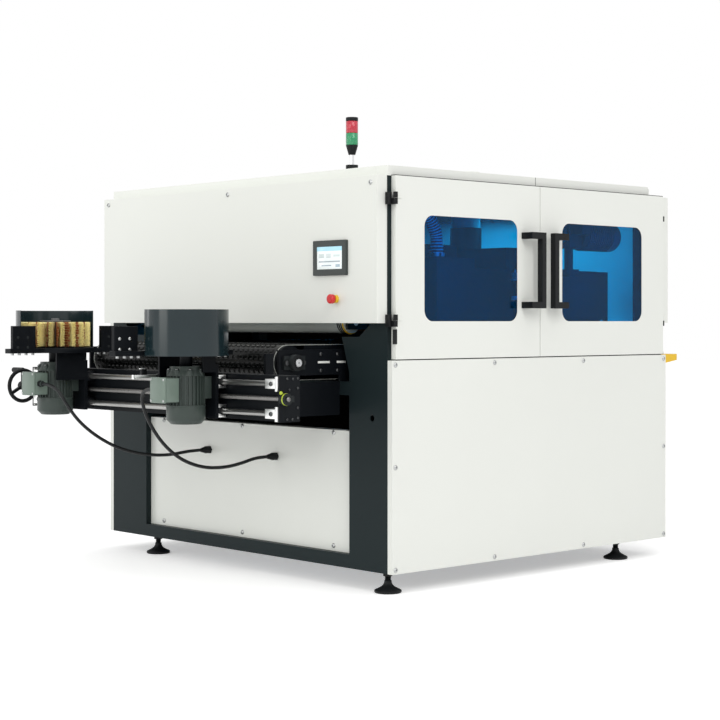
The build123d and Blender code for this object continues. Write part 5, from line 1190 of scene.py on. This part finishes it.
# Screw jack motor behind the rear door: fins along its barrel and a fan cowl on its end.
# The gearboxes themselves are cast iron, each with a bolted bearing cap.
JACK_X = 0.770
JACK_Z = 1.340
JACK_FRONT = 0.547
JACK_FINS = 12
JACK_FIN_START = 0.065
JACK_FIN_PITCH = 0.012
JACK_FIN_RADIUS = 0.062
JACK_COWL = [
    (0, 0.0005), (0.050, 0.0005), (0.060, -0.006), (0.062, -0.014), (0.062, -0.050), (0.0575, -0.051),
]
BEARING_CAP = [(0, 0.0055), (0.016, 0.0055), (0.018, 0.009), (0.030, 0.009), (0.031, 0.008), (0.031, -0.0005)]
CAP_THICKNESS = 0.009
CAP_BOLT = [(0, 0.005), (0.0040, 0.005), (0.0045, 0.004), (0.0045, 0)]
CAP_BOLTS = 6
CAP_BOLT_CIRCLE = 0.0245

jack_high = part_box("lift_jacks")[1]
jack_fins = bmesh.new()
for step in range(JACK_FINS):
    spot = (JACK_X, jack_high.y - JACK_FIN_START - step * JACK_FIN_PITCH, JACK_Z)
    add_turned(jack_fins, fin(JACK_FIN_RADIUS), spot, (0, 1, 0), 48)
add_turned(jack_fins, JACK_COWL, (JACK_X, jack_high.y, JACK_Z), (0, 1, 0), 48)
made("jack_motor_fins", jack_fins, drive_blue, "frame")
jack_caps = bmesh.new()
for side in (-1, 1):
    cap_spot = Vector((side * JACK_X, JACK_FRONT, JACK_Z))
    add_turned(jack_caps, BEARING_CAP, cap_spot, (0, -1, 0), 40)
    for across, rise in circle(CAP_BOLTS, CAP_BOLT_CIRCLE):
        add_turned(jack_caps, CAP_BOLT, cap_spot + Vector((across, -CAP_THICKNESS, rise)), (0, -1, 0), 12)
made("jack_bearing_caps", jack_caps, zinc_plate, "frame")

# Doors on the right side: folded white trays with blue tinted panes, black hinges and square pull handles.
# The far side has the same panes in fixed panels.
PANE_BLUE = (0.004, 0.43, 0.98)
PANE_CLEARNESS = 0.972
PANE_IOR = 1.2
PANE_GLOSS = (0.01, 0.04)
PANE_DRIFT = (0.94, 1.06)
HINGE_HEIGHTS = (0.990, 1.432)
HINGE_EDGE = 0.0008
KNUCKLE = [
    (0.0055, 0.0004), (0.0078, 0.0004), (0.0084, 0.0012),
    (0.0084, 0.0214), (0.0078, 0.0222), (0.0055, 0.0222),
]
DOOR_FACE = 0.895
DOOR_EDGE = -0.530
LEAF_LOW = (-0.0002, 0.0005, 0.0004)
LEAF_HIGH = (0.0045, 0.0125, 0.0222)
SEAT_LOW = (-0.0245, -0.0120, -0.0220)
SEAT_HIGH = (-0.0020, -0.0003, 0.0222)
CATCH_LOW = (-0.0002, 0.0015, 0.905)
CATCH_HIGH = (0.0030, 0.0220, 0.959)
GAP_SHADE_SPAN = (-0.512, 1.052)
GAP_SHADE_HEIGHTS = (0.0002, 0.0026)
GAP_SHADE_INSET = 0.002
DOOR_SEAM = 0.270
SEAM_HALF = 0.0008
SEAM_SUNK = 0.001
SEAM_PROUD = 0.0006
SEAM_FOOT = 0.003

blue_pane, pane = new_material("blue_pane")
feed(blue_pane, pane, Transmission_Weight=PANE_CLEARNESS, IOR=PANE_IOR, Specular_IOR_Level=0.5)
pane_place = add_node(blue_pane, "TexCoord").outputs["Object"]
pane_cloud = add_node(blue_pane, "TexNoise", Vector=pane_place, Scale=3.0, Detail=2.0).outputs["Fac"]
pane_shades = add_node(blue_pane, "ValToRGB", Fac=pane_cloud)
for element, change in zip(pane_shades.color_ramp.elements, PANE_DRIFT):
    element.color = (*(part * change for part in PANE_BLUE), 1.0)
pane_gloss = add_node(blue_pane, "MapRange", Value=pane_cloud, To_Min=PANE_GLOSS[0], To_Max=PANE_GLOSS[1])
feed(blue_pane, pane, Base_Color=pane_shades.outputs["Color"], Roughness=pane_gloss.outputs["Result"])
dress(blue_pane, "front_door_window", "rear_door_window", "left_windows")
dress(white_coat, "front_door", "rear_door", edge=SHEET_EDGE)
dress(black_plastic, "front_door_handle", "rear_door_handle", "hinge_pins", edge=0.002)
hinge_axis = pivot["front_door_hinge"]
leaf_shape = bmesh.new()
seat_shape = bmesh.new()
for height in HINGE_HEIGHTS:
    add_turned(leaf_shape, KNUCKLE, (hinge_axis.x, hinge_axis.y, height), UP)
    add_block(leaf_shape, LEAF_LOW, LEAF_HIGH, HINGE_EDGE, (DOOR_FACE, hinge_axis.y, height))
    add_block(seat_shape, SEAT_LOW, SEAT_HIGH, HINGE_EDGE, (DOOR_FACE, DOOR_EDGE, height))
add_block(leaf_shape, CATCH_LOW, CATCH_HIGH, HINGE_EDGE, (DOOR_FACE, DOOR_EDGE, 0))
made("front_door_hinge_leaves", leaf_shape, black_plastic, "front_door_leaf")
made("front_door_hinge_seats", seat_shape, black_plastic, "frame")
# Thin black strips: painted shadow in the gap between the door tops and the roof rail, and in the seam of the
# roof rail.
gap_shade_shape = bmesh.new()
roof_low, roof_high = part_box("roof_covers")
gap_shade_low = (roof_high.x, GAP_SHADE_SPAN[0], roof_low.z + GAP_SHADE_HEIGHTS[0])
add_block(gap_shade_shape, gap_shade_low, (DOOR_FACE - GAP_SHADE_INSET, GAP_SHADE_SPAN[1], roof_low.z + GAP_SHADE_HEIGHTS[1]), 0)
seam_low = (roof_high.x - SEAM_SUNK, DOOR_SEAM - SEAM_HALF, roof_low.z + SEAM_FOOT)
seam_high = (roof_high.x + SEAM_PROUD, DOOR_SEAM + SEAM_HALF, roof_high.z - SEAM_SUNK)
add_block(gap_shade_shape, seam_low, seam_high, 0)
made("door_top_gap_shade", gap_shade_shape, black_plastic, "frame")

# Operator panel on the front cover: a dark bezel round a lit touch screen with plain blocks on it,
# and an emergency stop with a red mushroom head in a yellow collar.
BEZEL_GREY = (0.028, 0.036, 0.034)
STOP_RED = (0.62, 0.018, 0.022)
SCREEN_GLOW = 0.25
SCREEN_SUNK = 0.002
SCREEN_BACK = 0.0005
SCREEN_EDGE = 0.0001
SCREEN_BLOCKS = (
    ("screen_page", (-0.070, 0.070, -0.042, 0.042), 0.0002, (0.80, 0.86, 0.86)),
    ("screen_header", (-0.070, 0.070, 0.026, 0.042), 0.0005, (0.42, 0.72, 0.85)),
    ("screen_keys", (-0.060, -0.030, 0.000, 0.016), 0.0005, (0.55, 0.62, 0.62)),
    ("screen_dial", (-0.018, 0.008, 0.000, 0.016), 0.0005, (0.60, 0.66, 0.67)),
    ("screen_field", (0.022, 0.058, 0.004, 0.012), 0.0005, (0.62, 0.70, 0.70)),
    ("screen_bar", (-0.060, 0.058, -0.016, -0.011), 0.0005, (0.33, 0.38, 0.42)),
    ("screen_low_bar", (-0.044, 0.010, -0.030, -0.026), 0.0005, (0.30, 0.36, 0.42)),
    ("screen_button", (0.034, 0.058, -0.034, -0.024), 0.0005, (0.35, 0.45, 0.52)),
)

bezel_plastic = surface("bezel_plastic", BEZEL_GREY, 0.06, 0.03, (0.4, 0.48), 0.0009, 0.0001)
dress(bezel_plastic, "hmi_panel", edge=0.0015)
hmi_low, hmi_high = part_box("hmi_panel")
screen_middle = (hmi_low + hmi_high) / 2
glass = hmi_low.y + SCREEN_SUNK
for name, (left, right, bottom, top), rise, colour in SCREEN_BLOCKS:
    lit = surface(name, colour, 0.02, 0.05, (0.12, 0.18), 0.002, 0.00001)
    lit_shader = lit.node_tree.nodes["Principled BSDF"]
    feed(lit, lit_shader, Emission_Color=(*colour, 1.0), Emission_Strength=SCREEN_GLOW)
    shape = bmesh.new()
    low = (screen_middle.x + left, glass - rise, screen_middle.z + bottom)
    high = (screen_middle.x + right, glass + SCREEN_BACK, screen_middle.z + top)
    add_block(shape, low, high, SCREEN_EDGE)
    made(name, shape, lit, "frame")
stop_red = surface("stop_red", STOP_RED, 0.04, 0.02, (0.25, 0.33), 0.001, 0.00005)
dress(stop_red, "stop_button")

# Signal tower on the roof: a black foot, a bright pole, fluted red and green lenses, and a black cap.
# Moulded plastic lenses stacked on the housing.
LENS_FLUTES = 20
FLUTE_STEPS = 4
FLUTE_DEPTH = 0.0007
LENS_RADIUS = 0.023
LENS_RIM = 0.0215
LENS_BEVEL = 0.0015
LENS_CLEARNESS = 0.25
LENS_COLOURS = {"green": (0.012, 0.33, 0.13), "red": (0.62, 0.016, 0.045)}
POLE_METAL = (0.74, 0.74, 0.75)
POLE = rectangle(0.0078, 0.0083, 0.0200, 0.0575)

dress(black_plastic, "tower_body", edge=0.0012)
tower_low, tower_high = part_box("tower_body")
tower_axis = (tower_low + tower_high) / 2
pole_metal = surface("pole_metal", POLE_METAL, 0.03, 0.02, (0.16, 0.24), 0.002, 0.00002, metal=1.0)
pole_spot = (tower_axis.x, tower_axis.y, tower_low.z)
turned("tower_pole", POLE, [pole_spot], UP, pole_metal, "frame", 28)
for name, colour in LENS_COLOURS.items():
    lens_low, lens_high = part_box(f"tower_{name}_lens")
    lens_plastic = surface(f"{name}_lens", colour, 0.06, 0.01, (0.10, 0.18), 0.002, 0.00003, coat=0.5)
    feed(lens_plastic, lens_plastic.node_tree.nodes["Principled BSDF"], Transmission_Weight=LENS_CLEARNESS)
    lens_outline = [(lens_low.z, LENS_RIM), (lens_low.z + LENS_BEVEL, LENS_RADIUS)]
    lens_outline += [(lens_high.z - LENS_BEVEL, LENS_RADIUS), (lens_high.z, LENS_RIM)]
    lens_shape = bmesh.new()
    lens_rings = []
    for height, radius in lens_outline:
        ring = []
        for step in range(LENS_FLUTES * FLUTE_STEPS):
            angle = math.tau * step / (LENS_FLUTES * FLUTE_STEPS)
            reach = radius - FLUTE_DEPTH * (0.5 - 0.5 * math.cos(LENS_FLUTES * angle))
            across, along = reach * math.cos(angle), reach * math.sin(angle)
            ring.append((tower_axis.x + across, tower_axis.y + along, height))
        lens_rings.append(ring)
    add_skin(lens_shape, lens_rings)
    lens = made(f"{name}_fluted_lens", lens_shape, lens_plastic, "frame", 50)
    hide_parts(f"tower_{name}_lens")
